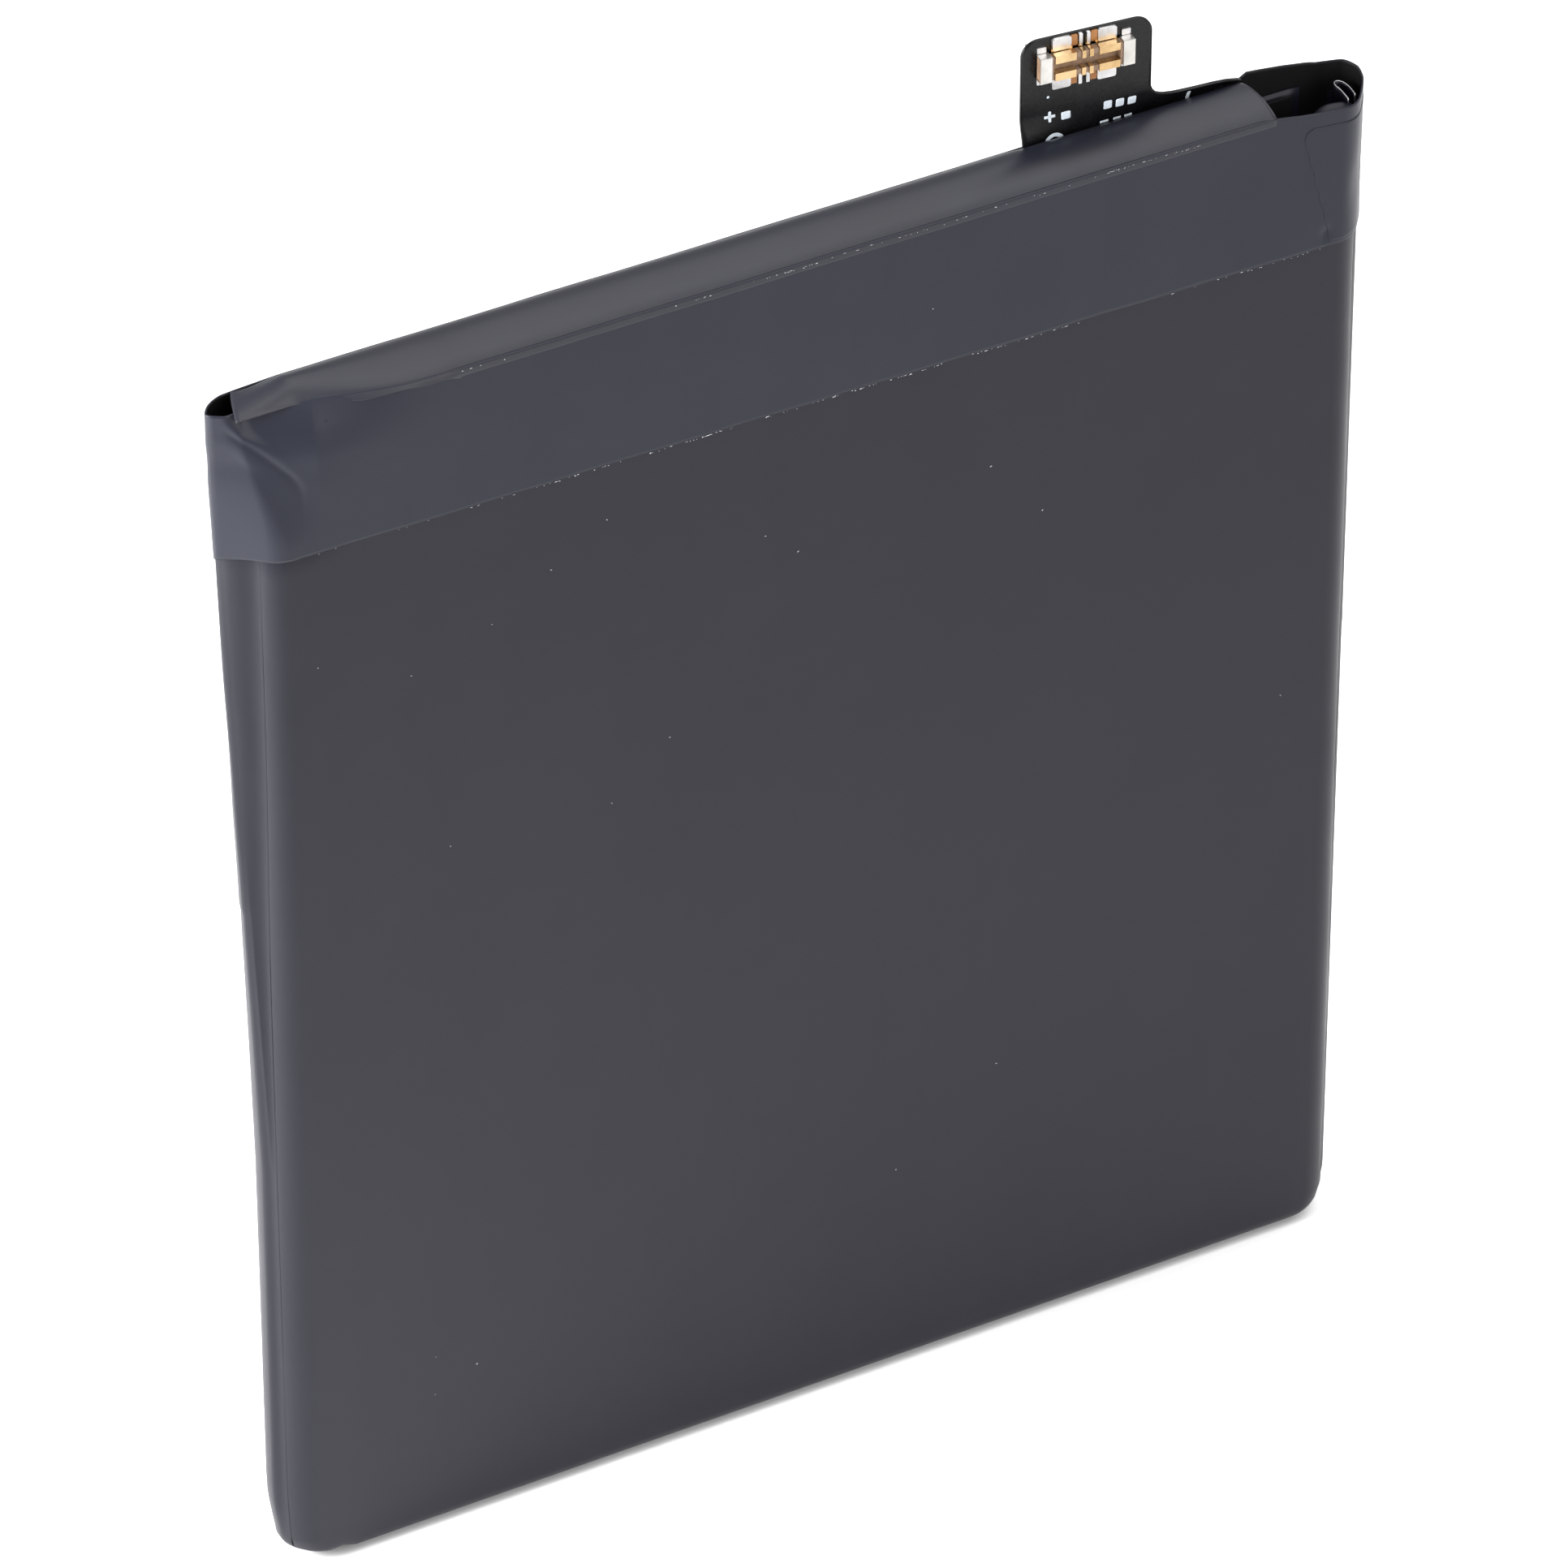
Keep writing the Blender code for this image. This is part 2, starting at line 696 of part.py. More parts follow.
def main():
    clear_scene()
    laminate = material("dark_laminate", (0.060, 0.060, 0.067), 0.45)
    tape = material("dark_tape", (0.055, 0.060, 0.070), 0.40)
    black_film = material("black_film", (0.012, 0.012, 0.014), 0.35)
    flex = material("black_flex", (0.015, 0.015, 0.018), 0.30)
    gold = material("gold_plate", (0.90, 0.66, 0.30), 0.25, 1.0)
    tin = material("tin_plate", (0.80, 0.79, 0.77), 0.35, 1.0)
    steel = material("stiffener_steel", (0.55, 0.55, 0.56), 0.35, 1.0)
    resin = material("amber_resin", (0.20, 0.12, 0.06), 0.40)
    nickel = material("nickel", (0.66, 0.64, 0.60), 0.35, 1.0)
    aluminium = material("aluminium_tab", (0.80, 0.80, 0.81), 0.35, 1.0)
    tab_film = material("tab_sealant", (0.90, 0.88, 0.80), 0.50)
    cathode = material("cathode_coating", (0.04, 0.04, 0.04), 0.80)
    anode = material("anode_coating", (0.09, 0.09, 0.10), 0.75)
    separator = material("separator_film", (0.92, 0.92, 0.90), 0.60)
    stop_tape = material("green_stop_tape", (0.10, 0.45, 0.25), 0.45)
    board = material("black_board", (0.02, 0.03, 0.02), 0.40)
    package = material("chip_package", (0.03, 0.03, 0.03), 0.55)
    ceramic = material("chip_ceramic", (0.45, 0.33, 0.22), 0.50)
    resistor = material("resistor_body", (0.05, 0.05, 0.06), 0.45)
    polyimide = material("polyimide_tape", (0.55, 0.28, 0.05), 0.30)
    foam = material("black_foam", (0.03, 0.03, 0.03), 0.90)
    paper = material("label_film", (0.05, 0.05, 0.055), 0.50)

    build_pouch(laminate)
    build_side_seals(laminate)
    build_winding(cathode, anode, separator, stop_tape)
    build_tab("positive", POSITIVE_X, aluminium, tab_film)
    build_tab("negative", NEGATIVE_X, nickel, tab_film)
    build_board(board, nickel, package, ceramic, resistor, polyimide, foam, black_film)
    build_band(tape)
    build_roof(tape)
    build_back_label(paper)
    build_flex_root(flex)
    pivot = build_tail(flex, steel)
    build_connector(pivot, resin, gold, tin)


main()
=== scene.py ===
import math
import random

import bmesh
import bpy
import numpy as np
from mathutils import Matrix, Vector


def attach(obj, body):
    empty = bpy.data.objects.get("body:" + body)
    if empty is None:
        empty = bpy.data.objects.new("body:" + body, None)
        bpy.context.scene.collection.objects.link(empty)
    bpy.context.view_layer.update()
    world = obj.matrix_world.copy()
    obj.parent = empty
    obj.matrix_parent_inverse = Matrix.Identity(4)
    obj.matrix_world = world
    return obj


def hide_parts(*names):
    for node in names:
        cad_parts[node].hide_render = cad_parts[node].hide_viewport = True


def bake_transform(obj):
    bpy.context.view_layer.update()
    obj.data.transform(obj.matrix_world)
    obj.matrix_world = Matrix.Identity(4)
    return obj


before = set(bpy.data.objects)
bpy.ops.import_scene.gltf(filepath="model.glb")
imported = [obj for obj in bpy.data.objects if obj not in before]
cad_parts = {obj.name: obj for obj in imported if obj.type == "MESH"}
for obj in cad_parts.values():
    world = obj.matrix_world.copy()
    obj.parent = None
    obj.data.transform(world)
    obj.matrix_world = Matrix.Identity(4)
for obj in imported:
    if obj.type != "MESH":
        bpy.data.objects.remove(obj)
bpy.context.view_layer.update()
MM = 0.001

# Sizes in millimetres and angles in degrees, but for TAIL_YAW. Most repeat those of part.py.
HALF_WIDTH = 32.0
HALF_DEPTH = 1.83
SIDE_X = HALF_WIDTH - HALF_DEPTH  # middle of the rounded sides
CUP_TOP = 69.2
CUP_EDGE = 0.85  # radius of the cup's bottom and top edges
LIP_X = 29.7  # where the drawn front ends behind, at the closing film
FLAP_RADIUS = 1.85
FLAP_FILM = 0.28
FLAP_BACK = 52.0  # angles of the seal's root and its free edge round the side
FLAP_FREE = -22.0
FLAP_TOP = 71.6
SPLAY_START = 26.0
SPLAY_ANGLE = 47.0
BAND_LOW = 64.7
BAND_HIGH = 73.6
TAPE = 0.10
LEFT_TURN = -29.2  # left of it, the roof tape turns down to the end wall
TAIL_X = 16.86
TAIL_YAW = math.radians(-6.0)
TAIL_HALF = 3.63
TAIL_TOP = 79.88
TAIL_RADIUS = 0.95
FLEX_Y = 1.44
FLEX_FACE = 0.075  # from the middle of the flex to its front face
PRINT_FILM = 0.008


# --- Tools -----------------------------------------------------------------------------------


def smooth(low, high, value):
    """0 at low and beyond, 1 at high and beyond, with a smooth step between."""
    t = np.clip((value - low) / (high - low), 0.0, 1.0)
    return t * t * (3 - 2 * t)


def hill(centre, width, value):
    """A bell curve, 1 at its centre."""
    return np.exp(-(((value - centre) / width) ** 2))


class Waves:
    """Smooth repeatable unevenness over a surface: a sum of seeded sine waves."""

    COUNT = 14

    def __init__(self, seed, size):
        rng = random.Random(seed)
        self.waves = []
        for _ in range(self.COUNT):
            turn = rng.uniform(0, 2 * math.pi)
            pitch = 2 * math.pi / (size * rng.uniform(0.7, 1.8))
            phase = rng.uniform(0, 2 * math.pi)
            self.waves.append((pitch * math.cos(turn), pitch * math.sin(turn), phase))

    def __call__(self, a, b):
        total = sum(np.sin(u * a + v * b + p) for u, v, p in self.waves)
        return total / math.sqrt(self.COUNT)


def grid_faces(rows, columns, closed=False):
    """Quads over a grid of points, each row joined end to start where closed."""
    faces = []
    for i in range(rows - 1):
        for j in range(columns if closed else columns - 1):
            k = (j + 1) % columns
            faces.append(
                (i * columns + j, i * columns + k, (i + 1) * columns + k, (i + 1) * columns + j)
            )
    return faces


def add_piece(name, verts, faces, surface, body=None, slot=None, flat_angle=50.0):
    """A mesh from points in millimetres, riding on a body."""
    mesh = bpy.data.meshes.new(name)
    mesh.from_pydata([tuple(float(c) * MM for c in v) for v in verts], [], faces)
    mesh.materials.append(surface)
    bm = bmesh.new()
    bm.from_mesh(mesh)
    bmesh.ops.recalc_face_normals(bm, faces=bm.faces)
    bm.to_mesh(mesh)
    bm.free()
    mesh.shade_smooth()
    mesh.set_sharp_from_angle(angle=math.radians(flat_angle))
    obj = bpy.data.objects.new(name, mesh)
    bpy.context.scene.collection.objects.link(obj)
    if body:
        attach(obj, body)
    return obj


def grid_piece(name, grid, surface, thickness, inward, body, slot, closed=False):
    """A sheet from a rows x columns x 3 grid of points, with the given thickness added on the
    side that faces the point function inward."""
    rows, columns = grid.shape[:2]
    verts = grid.reshape(-1, 3)
    faces = grid_faces(rows, columns, closed)
    obj = add_piece(name, verts, faces, surface, None, slot)
    middle = faces[len(faces) // 2]
    face = obj.data.polygons[len(faces) // 2]
    outward = face.normal.dot(Vector(inward(np.mean(verts[list(middle)], axis=0)))) < 0
    modifier = obj.modifiers.new("thickness", "SOLIDIFY")
    modifier.thickness = thickness * MM
    modifier.offset = -1.0 if outward else 1.0
    modifier.use_even_offset = False
    if body:
        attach(obj, body)
    return obj


def loft(name, rings, surface, body, slot, flat_angle):
    """A solid through closed rings of points, capped at both ends."""
    rings = np.asarray(rings, float)
    count = rings.shape[1]
    faces = grid_faces(len(rings), count, closed=True)
    faces.append(tuple(range(count)))
    faces.append(tuple(range((len(rings) - 1) * count, len(rings) * count)))
    return add_piece(name, rings.reshape(-1, 3), faces, surface, body, slot, flat_angle)


def lengths(points):
    """The distance of each point along its polyline."""
    steps = np.linalg.norm(np.diff(points, axis=0), axis=1)
    return np.concatenate([[0.0], np.cumsum(steps)])


def resample(points, count):
    """count + 1 points evenly spaced along a polyline."""
    points = np.asarray(points, float)
    length = lengths(points)
    at = np.linspace(0.0, length[-1], count + 1)
    return np.stack([np.interp(at, length, points[:, k]) for k in range(points.shape[1])], 1)


def bezier(p0, p1, p2, p3, count):
    """count + 1 points along a cubic curve."""
    t = np.linspace(0, 1, count + 1)[:, None]
    p0, p1, p2, p3 = (np.asarray(p, float)[None] for p in (p0, p1, p2, p3))
    return (1 - t) ** 3 * p0 + 3 * (1 - t) ** 2 * t * p1 + 3 * (1 - t) * t**2 * p2 + t**3 * p3


def arc(cx, cy, radius, start, end, count):
    """count + 1 points round an arc, its angles in degrees."""
    angles = np.radians(np.linspace(start, end, count + 1))
    return np.stack([cx + radius * np.cos(angles), cy + radius * np.sin(angles)], 1)


# --- Materials -------------------------------------------------------------------------------


class Shader:
    """A Principled material whose colour, roughness and bump come from layered noise."""

    def __init__(self, name, roughness, metallic=0.0, ior=1.5):
        self.material = bpy.data.materials.new(name)
        self.material.use_nodes = True
        self.nodes = self.material.node_tree.nodes
        self.links = self.material.node_tree.links
        self.shader = self.nodes["Principled BSDF"]
        self.shader.inputs["Roughness"].default_value = roughness
        self.shader.inputs["Metallic"].default_value = metallic
        self.shader.inputs["IOR"].default_value = ior
        self.place = self.nodes.new("ShaderNodeTexCoord").outputs["Object"]

    def noise(self, scale, detail, rough=0.5, stretch=(1, 1, 1)):
        mapping = self.nodes.new("ShaderNodeMapping")
        mapping.inputs["Scale"].default_value = stretch
        self.links.new(self.place, mapping.inputs["Vector"])
        node = self.nodes.new("ShaderNodeTexNoise")
        node.inputs["Scale"].default_value = scale
        node.inputs["Detail"].default_value = detail
        node.inputs["Roughness"].default_value = rough
        self.links.new(mapping.outputs["Vector"], node.inputs["Vector"])
        return node.outputs["Fac"]

    def ramp(self, value, low, high, out_low=0.0, out_high=1.0):
        """value, mapped from low..high to out_low..out_high."""
        node = self.nodes.new("ShaderNodeMapRange")
        node.inputs["From Min"].default_value = low
        node.inputs["From Max"].default_value = high
        node.inputs["To Min"].default_value = out_low
        node.inputs["To Max"].default_value = out_high
        self.links.new(value, node.inputs["Value"])
        return node.outputs["Result"]

    def blend(self, factor, first, second):
        """A mix of two colours, each a tuple or a socket."""
        node = self.nodes.new("ShaderNodeMix")
        node.data_type = "RGBA"
        self.links.new(factor, node.inputs[0])
        for socket, value in ((node.inputs[6], first), (node.inputs[7], second)):
            if isinstance(value, tuple):
                socket.default_value = (*value, 1.0)
            else:
                self.links.new(value, socket)
        return node.outputs[2]

    def drive(self, name, value):
        self.links.new(value, self.shader.inputs[name])

    def bump(self, *layers):
        """Each layer is (height, strength, distance in millimetres)."""
        previous = None
        for height, strength, distance in layers:
            node = self.nodes.new("ShaderNodeBump")
            node.inputs["Strength"].default_value = strength
            node.inputs["Distance"].default_value = distance * MM
            self.links.new(height, node.inputs["Height"])
            if previous:
                self.links.new(previous, node.inputs["Normal"])
            previous = node.outputs["Normal"]
        self.drive("Normal", previous)


def film(name, base, patch, roughness, ior=1.5, mottle=90):
    """Satin polymer film: broad mottling, a fine matte grain and faint drawn streaks."""
    made = Shader(name, roughness, ior=ior)
    broad = made.noise(mottle, 4.0, 0.55)
    streak = made.noise(260, 3.0, 0.6, (1.0, 1.0, 0.12))
    fine = made.noise(3500, 2.0, 0.6)
    mixed = made.blend(made.ramp(broad, 0.35, 0.65), base, patch)
    darker = tuple(c * 0.86 for c in base)
    streaked = made.blend(made.ramp(streak, 0.50, 0.75, 0.0, 0.45), mixed, darker)
    made.drive("Base Color", streaked)
    made.drive("Roughness", made.ramp(broad, 0.3, 0.7, roughness - 0.035, roughness + 0.045))
    made.bump((broad, 0.12, 0.25), (fine, 0.10, 0.010))
    return made.material


def metal(name, base, worn, roughness, grain=2200, stretch=(1, 1, 1)):
    """Bare metal with worn patches and a fine grain."""
    made = Shader(name, roughness, metallic=1.0)
    broad = made.noise(700, 4.0, 0.6)
    fine = made.noise(grain, 3.0, 0.6, stretch)
    made.drive("Base Color", made.blend(made.ramp(broad, 0.40, 0.68), base, worn))
    made.drive("Roughness", made.ramp(fine, 0.3, 0.7, roughness - 0.07, roughness + 0.10))
    made.bump((broad, 0.25, 0.03), (fine, 0.20, 0.006))
    return made.material


def coating(name, base, patch, roughness, scale=500, bump=0.02, ior=1.45):
    """Painted, moulded or printed surface with a fine uneven grain."""
    made = Shader(name, roughness, ior=ior)
    broad = made.noise(scale, 4.0, 0.6)
    fine = made.noise(scale * 6, 2.0, 0.55)
    made.drive("Base Color", made.blend(made.ramp(broad, 0.38, 0.66), base, patch))
    made.drive("Roughness", made.ramp(fine, 0.3, 0.7, roughness - 0.06, roughness + 0.08))
    made.bump((fine, 0.3, bump))
    return made.material


LAMINATE = film("laminate_film", (0.0058, 0.0062, 0.0122), (0.0080, 0.0083, 0.0150), 0.42, 1.345)
BAND = film("band_film", (0.0082, 0.0096, 0.0185), (0.0105, 0.0120, 0.0215), 0.40, 1.36, mottle=70)
ROOF = film("roof_film", (0.0088, 0.0100, 0.0182), (0.0120, 0.0125, 0.0190), 0.41, 1.45, mottle=60)
# The tape's inside: its own near-black, made darker than its outside as painted shade for the
# pocket.
INSIDE_FILM_AND_SHADE = film("tape_inside_and_painted_shade", (0.0050, 0.0046, 0.0052), (0.0080, 0.0075, 0.0080), 0.55, ior=1.28)
SEAL_EDGE = metal("laminate_cut_edge", (0.72, 0.72, 0.73), (0.50, 0.50, 0.52), 0.42)
DUST = coating("dust", (0.85, 0.85, 0.88), (0.55, 0.55, 0.58), 0.7, 4000)
PRINT = coating("white_print", (0.74, 0.80, 0.86), (0.60, 0.67, 0.74), 0.55, 2500, 0.008)
GOLD = metal("gold_contact", (0.70, 0.50, 0.27), (0.52, 0.34, 0.16), 0.28)
TIN = metal("tin_metal", (0.70, 0.68, 0.65), (0.50, 0.48, 0.45), 0.36)
SOLDER = metal("solder", (0.66, 0.65, 0.65), (0.42, 0.41, 0.41), 0.30, 1500)
STEEL = metal("stiffener_steel", (0.58, 0.58, 0.59), (0.42, 0.42, 0.44), 0.33, 1200, (0.2, 1, 1))
NICKEL = metal("nickel_sheet", (0.68, 0.65, 0.60), (0.52, 0.49, 0.45), 0.32)
ALUMINIUM = metal("aluminium_sheet", (0.82, 0.82, 0.83), (0.66, 0.66, 0.68), 0.36)
RESIN = coating("amber_resin", (0.200, 0.125, 0.080), (0.270, 0.175, 0.115), 0.36, 1800, 0.01)
POLYIMIDE = coating("polyimide", (0.300, 0.115, 0.030), (0.400, 0.170, 0.050), 0.32, 1500, 0.01)
FLEX = coating(
    "flex_coverlay", (0.0022, 0.0022, 0.0027), (0.0045, 0.0045, 0.0055), 0.30, 900, ior=1.36
)
SOLDER_MASK = coating("board_mask", (0.006, 0.009, 0.007), (0.010, 0.014, 0.011), 0.35, 800)
PACKAGE = coating("chip_package", (0.015, 0.015, 0.016), (0.025, 0.025, 0.026), 0.6, 2500)
CERAMIC = coating("chip_ceramic", (0.32, 0.23, 0.15), (0.40, 0.30, 0.20), 0.55, 2500)
CATHODE = coating("cathode_coat", (0.020, 0.020, 0.022), (0.030, 0.030, 0.032), 0.85, 1500)
ANODE = coating("anode_coat", (0.045, 0.046, 0.050), (0.060, 0.062, 0.068), 0.8, 1500)
SEPARATOR = coating("separator_film", (0.80, 0.80, 0.78), (0.70, 0.70, 0.69), 0.6, 600)
SEALANT = coating("tab_sealant", (0.72, 0.68, 0.55), (0.62, 0.58, 0.46), 0.5, 900)
STOP_TAPE = coating("stop_tape", (0.05, 0.30, 0.14), (0.07, 0.36, 0.18), 0.4, 700)
FOAM = coating("header_foam", (0.006, 0.006, 0.007), (0.012, 0.012, 0.013), 0.95, 3500, 0.08)
# The insulator's own black, made darker still as painted shade for the pocket round it.
BLACK_FILM_AND_SHADE = film("insulator_film_and_painted_shade", (0.002, 0.002, 0.002), (0.004, 0.004, 0.004), 0.8, 1.25)
LABEL = film("label_film", (0.018, 0.018, 0.021), (0.024, 0.024, 0.028), 0.5)


# --- Sections shared by the pouch, its seals and the band ------------------------------------


def splay(z, side):
    """The left seal has sprung open towards the top; the right one lies flat."""
    if side > 0:
        return 0.0
    return SPLAY_ANGLE * min(1.0, max(0.0, z - SPLAY_START) / (FLAP_TOP - SPLAY_START))


def seal_outer(z, side):
    """Outer line of a folded seal in plan, from its free edge to its root, before mirroring."""
    opened = splay(z, side)
    angles = np.linspace(FLAP_FREE, FLAP_BACK, 27)
    ease = 16.0 - 12.0 * min(1.0, opened / 25.0)
    lift = smooth(FLAP_FREE, FLAP_FREE + ease, angles) * smooth(FLAP_BACK, FLAP_BACK - 22, angles)
    edge = 0.015
    radius = FLAP_RADIUS + edge + (FLAP_FILM - edge) * lift
    around = np.radians(angles)
    points = np.stack([radius * np.cos(around), radius * np.sin(around)], 1)
    back = math.radians(FLAP_BACK)
    root = np.array([math.cos(back), math.sin(back)]) * FLAP_RADIUS
    turn = math.radians(opened)
    rotation = np.array([[math.cos(turn), math.sin(turn)], [-math.sin(turn), math.cos(turn)]])
    return (points - root) @ rotation + root


def rounding(distance, radius):
    """How far in a rounded edge is, from 1 at the edge itself to 0 a radius away from it."""
    share = min(1.0, max(0.0, 1 - distance / radius))
    return 1 - math.sqrt(1 - share**2)


def half_width(z, side):
    """Half the width of the pouch, drawn in round its bottom corners."""
    corner = 1.7 if side > 0 else 0.85
    return HALF_WIDTH - corner * rounding(z, corner)


def half_depth(z):
    """Half the depth of the pouch, drawn in at its bottom and at the top of the cup."""
    return HALF_DEPTH * (1 - 0.42 * rounding(min(z, CUP_TOP - z), CUP_EDGE))


def tucked(x, y, z):
    """Under the band the film is pressed in at the left corner, clear of the tape's fold."""
    amount = smooth(64.9, 66.6, z) * smooth(-27.5, -29.5, x) * smooth(1.5, 0.6, y)
    push = 0.60 * amount
    dx, dy = -29.0 - x, -y
    reach = np.hypot(dx, dy) + 1e-6
    return x + push * dx / reach, y + push * dy / reach


def pinched(x, y, z):
    """The bottom left corner is drawn in and crumpled, the film and its seal together."""
    near = smooth(-27.5, -31.6, x)
    sole = np.clip(1 - z, 0, 1)
    low = 0.22 * np.clip(1 - z / 4.8, 0, 1) ** 1.3 + 0.58 * sole
    crumple = 0.05 * np.sin(2.6 * x + 3.1 * z) + 0.03 * np.sin(5.3 * x - 2.2 * z + 1.0)
    foot = smooth(-28.2, -29.5, x) * sole
    flank = smooth(-30.2, -31.7, x) * sole
    wave = 0.34 - 0.16 * flank + 0.07 * np.sin(3.1 * x + 1.4 * y + 0.6)
    y = y + crumple * foot - 0.55 * flank * np.clip(y + 1.15, 0, None)
    return x + near * low, y, z + wave * foot


# --- Pouch -----------------------------------------------------------------------------------


def build_pouch():
    """The drawn front, its floor and heel, and the closing film behind, all thin shells."""
    swell = Waves(3, 26.0)
    ripple = Waves(4, 5.0)
    foot = CUP_EDGE * (1 - np.cos(np.linspace(0, math.pi / 2, 8)))
    head = CUP_TOP - CUP_EDGE * (1 - np.sin(np.linspace(0, math.pi / 2, 7)))
    rows = []
    for z in [*foot, *np.linspace(1.6, CUP_TOP - 0.9, 62), *head[1:]]:
        depth = half_depth(z)
        right_x = half_width(z, 1) - depth
        left_x = half_width(z, -1) - depth
        front = np.stack([np.linspace(-left_x, right_x, 61), np.full(61, -depth)], 1)
        right = arc(right_x, 0, depth, -90, 90, 22)[1:]
        right_lip = np.stack([np.linspace(right_x, LIP_X, 3), np.full(3, depth)], 1)[1:]
        left_lip = np.stack([np.linspace(-LIP_X, -left_x, 3), np.full(3, depth)], 1)[:-1]
        left = arc(-left_x, 0, depth, 270, 90, 22)[1:]
        line = np.concatenate([left_lip, left[::-1], front, right, right_lip])
        x, y = line[:, 0], line[:, 1]
        facing = smooth(0.3, -1.6, y) * smooth(0.0, 3.0, z)
        y = y + facing * (0.020 * swell(x, z) + 0.006 * ripple(x, z))
        x, y = tucked(x, y, z)
        rows.append(np.stack(pinched(x, y, z), 1))
    grid = np.array(rows)
    cup = grid_piece(
        "pouch_front", grid, LAMINATE, 0.13, lambda p: (-p[0], -p[1], 0), "cell", "laminate"
    )
    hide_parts("pouch_cup")
    add_piece("pouch_fold", *cup_floor(grid[0]), LAMINATE, "cell", "laminate")
    heel = []
    for z in [*foot, 1.0, 1.15]:
        x = np.linspace(-29.72, 29.72, 60)
        y = np.full(60, min(half_depth(z), 1.70))
        heel.append(np.stack(pinched(x, y, z), 1))
    grid_piece(
        "pouch_heel", np.array(heel), LAMINATE, 0.10, lambda _: (0, -1, 0), "cell", "laminate"
    )
    side, low, high = 29.75, 0.95, 72.2
    x, z = np.meshgrid(np.linspace(-side, side, 90), np.linspace(low, high, 110))
    edge = np.minimum(smooth(side, side - 0.75, np.abs(x)), smooth(low, low + 0.75, z))
    y = HALF_DEPTH - 0.10 + 0.085 * edge + 0.012 * swell(x + 40, z) * edge
    cover = grid_piece(
        "pouch_back", np.stack([x, y, z], 2), LAMINATE, 0.12, lambda _: (0, -1, 0), "cell",
        "laminate",
    )
    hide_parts("pouch_cover")


def cup_floor(outer):
    """Points and faces of the plate that closes the bottom of the drawn front."""
    verts = np.concatenate([outer, outer + (0, 0, 0.10)])
    count = len(outer)
    faces = [tuple(range(count)), tuple(range(count, 2 * count))]
    for i in range(count):
        j = (i + 1) % count
        faces.append((i, j, count + j, count + i))
    return verts, faces


def build_seal(side, name):
    """One folded side seal. The sprung part runs out of the pouch's side in one soft valley."""
    rings = []
    ripple = Waves(11 + side, 9.0)
    low, taper_length, notch = (0.5, 1.8, 38.5) if side > 0 else (0.12, 4.2, 43.1)
    skin = HALF_DEPTH + 0.004
    for z in [*np.linspace(low, 4, 12), *np.linspace(5, 26, 18), *np.linspace(26.6, FLAP_TOP, 74)]:
        foot = half_depth(min(z, 10.0)) / HALF_DEPTH
        shift = half_width(z, side) - HALF_DEPTH * foot
        outer = seal_outer(z, side)
        opened = float(smooth(11.0, 30.0, splay(z, side)))
        start_angle = math.radians(-30.0 - 6.0 * opened)
        start = np.array([math.cos(start_angle), math.sin(start_angle)]) * (HALF_DEPTH + 0.012)
        along = np.array([-math.sin(start_angle), math.cos(start_angle)])
        tip = outer[0]
        reach = np.linalg.norm(tip - start)
        heading = (outer[2] - tip) / np.linalg.norm(outer[2] - tip)
        first = start + along * reach * (0.50 - 0.17 * opened)
        last = tip - heading * reach * (0.10 + 0.22 * opened)
        valley = bezier(start, first, last, tip, 16)
        root_angle = math.degrees(math.atan2(outer[-1][1], outer[-1][0]))
        inner = arc(0, 0, skin, root_angle, math.degrees(start_angle), 14)
        section = np.concatenate([valley, outer[1:], inner[1:-1]])
        taper = smooth(low, low + taper_length, z)
        radius = np.linalg.norm(section, axis=1)
        scale = 1 + (taper - 1) * np.clip(radius - skin, 0, None) / radius
        section = section * scale[:, None] * foot
        wave = 0.030 * ripple(z, 3.0 * section[:, 1]) * opened
        wave = wave + 0.06 * smooth(-0.15, 0.15, z - notch)
        x = side * (shift + section[:, 0] + wave * smooth(1.9, 2.4, radius))
        x, y = tucked(x, section[:, 1], z)
        rings.append(np.stack(pinched(x, y, z), 1))
    seal = loft(name, rings, LAMINATE, "cell", "laminate", flat_angle=60)
    node = "side_seal_right" if side > 0 else "side_seal_left"
    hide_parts(node)


# --- Band ------------------------------------------------------------------------------------

END_X = 28.6  # the ends of the band's straight walls
BACK_STEPS, LEFT_STEPS, FRONT_STEPS, RIGHT_STEPS = 90, 96, 170, 80

# The gift-wrap fold at the left end, as points down its line
FOLD_Z = [64.6, 67.3, 68.6, 69.2, 69.8, 70.6, 71.6, 72.0, 72.4, 73.35]
FOLD_X = [-29.62, -29.56, -29.58, -29.70, -30.05, -30.75, -31.70, -32.15, -32.55, -33.00]
FOLD_Y = [-1.96, -1.86, -1.76, -1.70, -1.50, -1.13, -0.72, -0.46, -0.19, 0.20]

# The cut edge of the band's second layer, down the front of the open end
OVERLAP_Z = [64.75, 66.8, 69.0, 70.6, 71.6, 72.0, 72.25]
OVERLAP_X = [29.72, 29.2, 28.62, 28.2, 27.93, 28.0, 28.45]

BAND_SWELL = Waves(21, 11.0)
BAND_RIPPLE = Waves(22, 3.2)


def hull_line(points, gap):
    """A taut closed loop round 2D points, pushed out by a gap, from 720 directions."""
    angles = np.radians(np.arange(0, 360, 0.5))
    normals = np.stack([np.cos(angles), np.sin(angles)], 1)
    furthest = points[np.argmax(normals @ points.T, axis=1)]
    return furthest + normals * gap


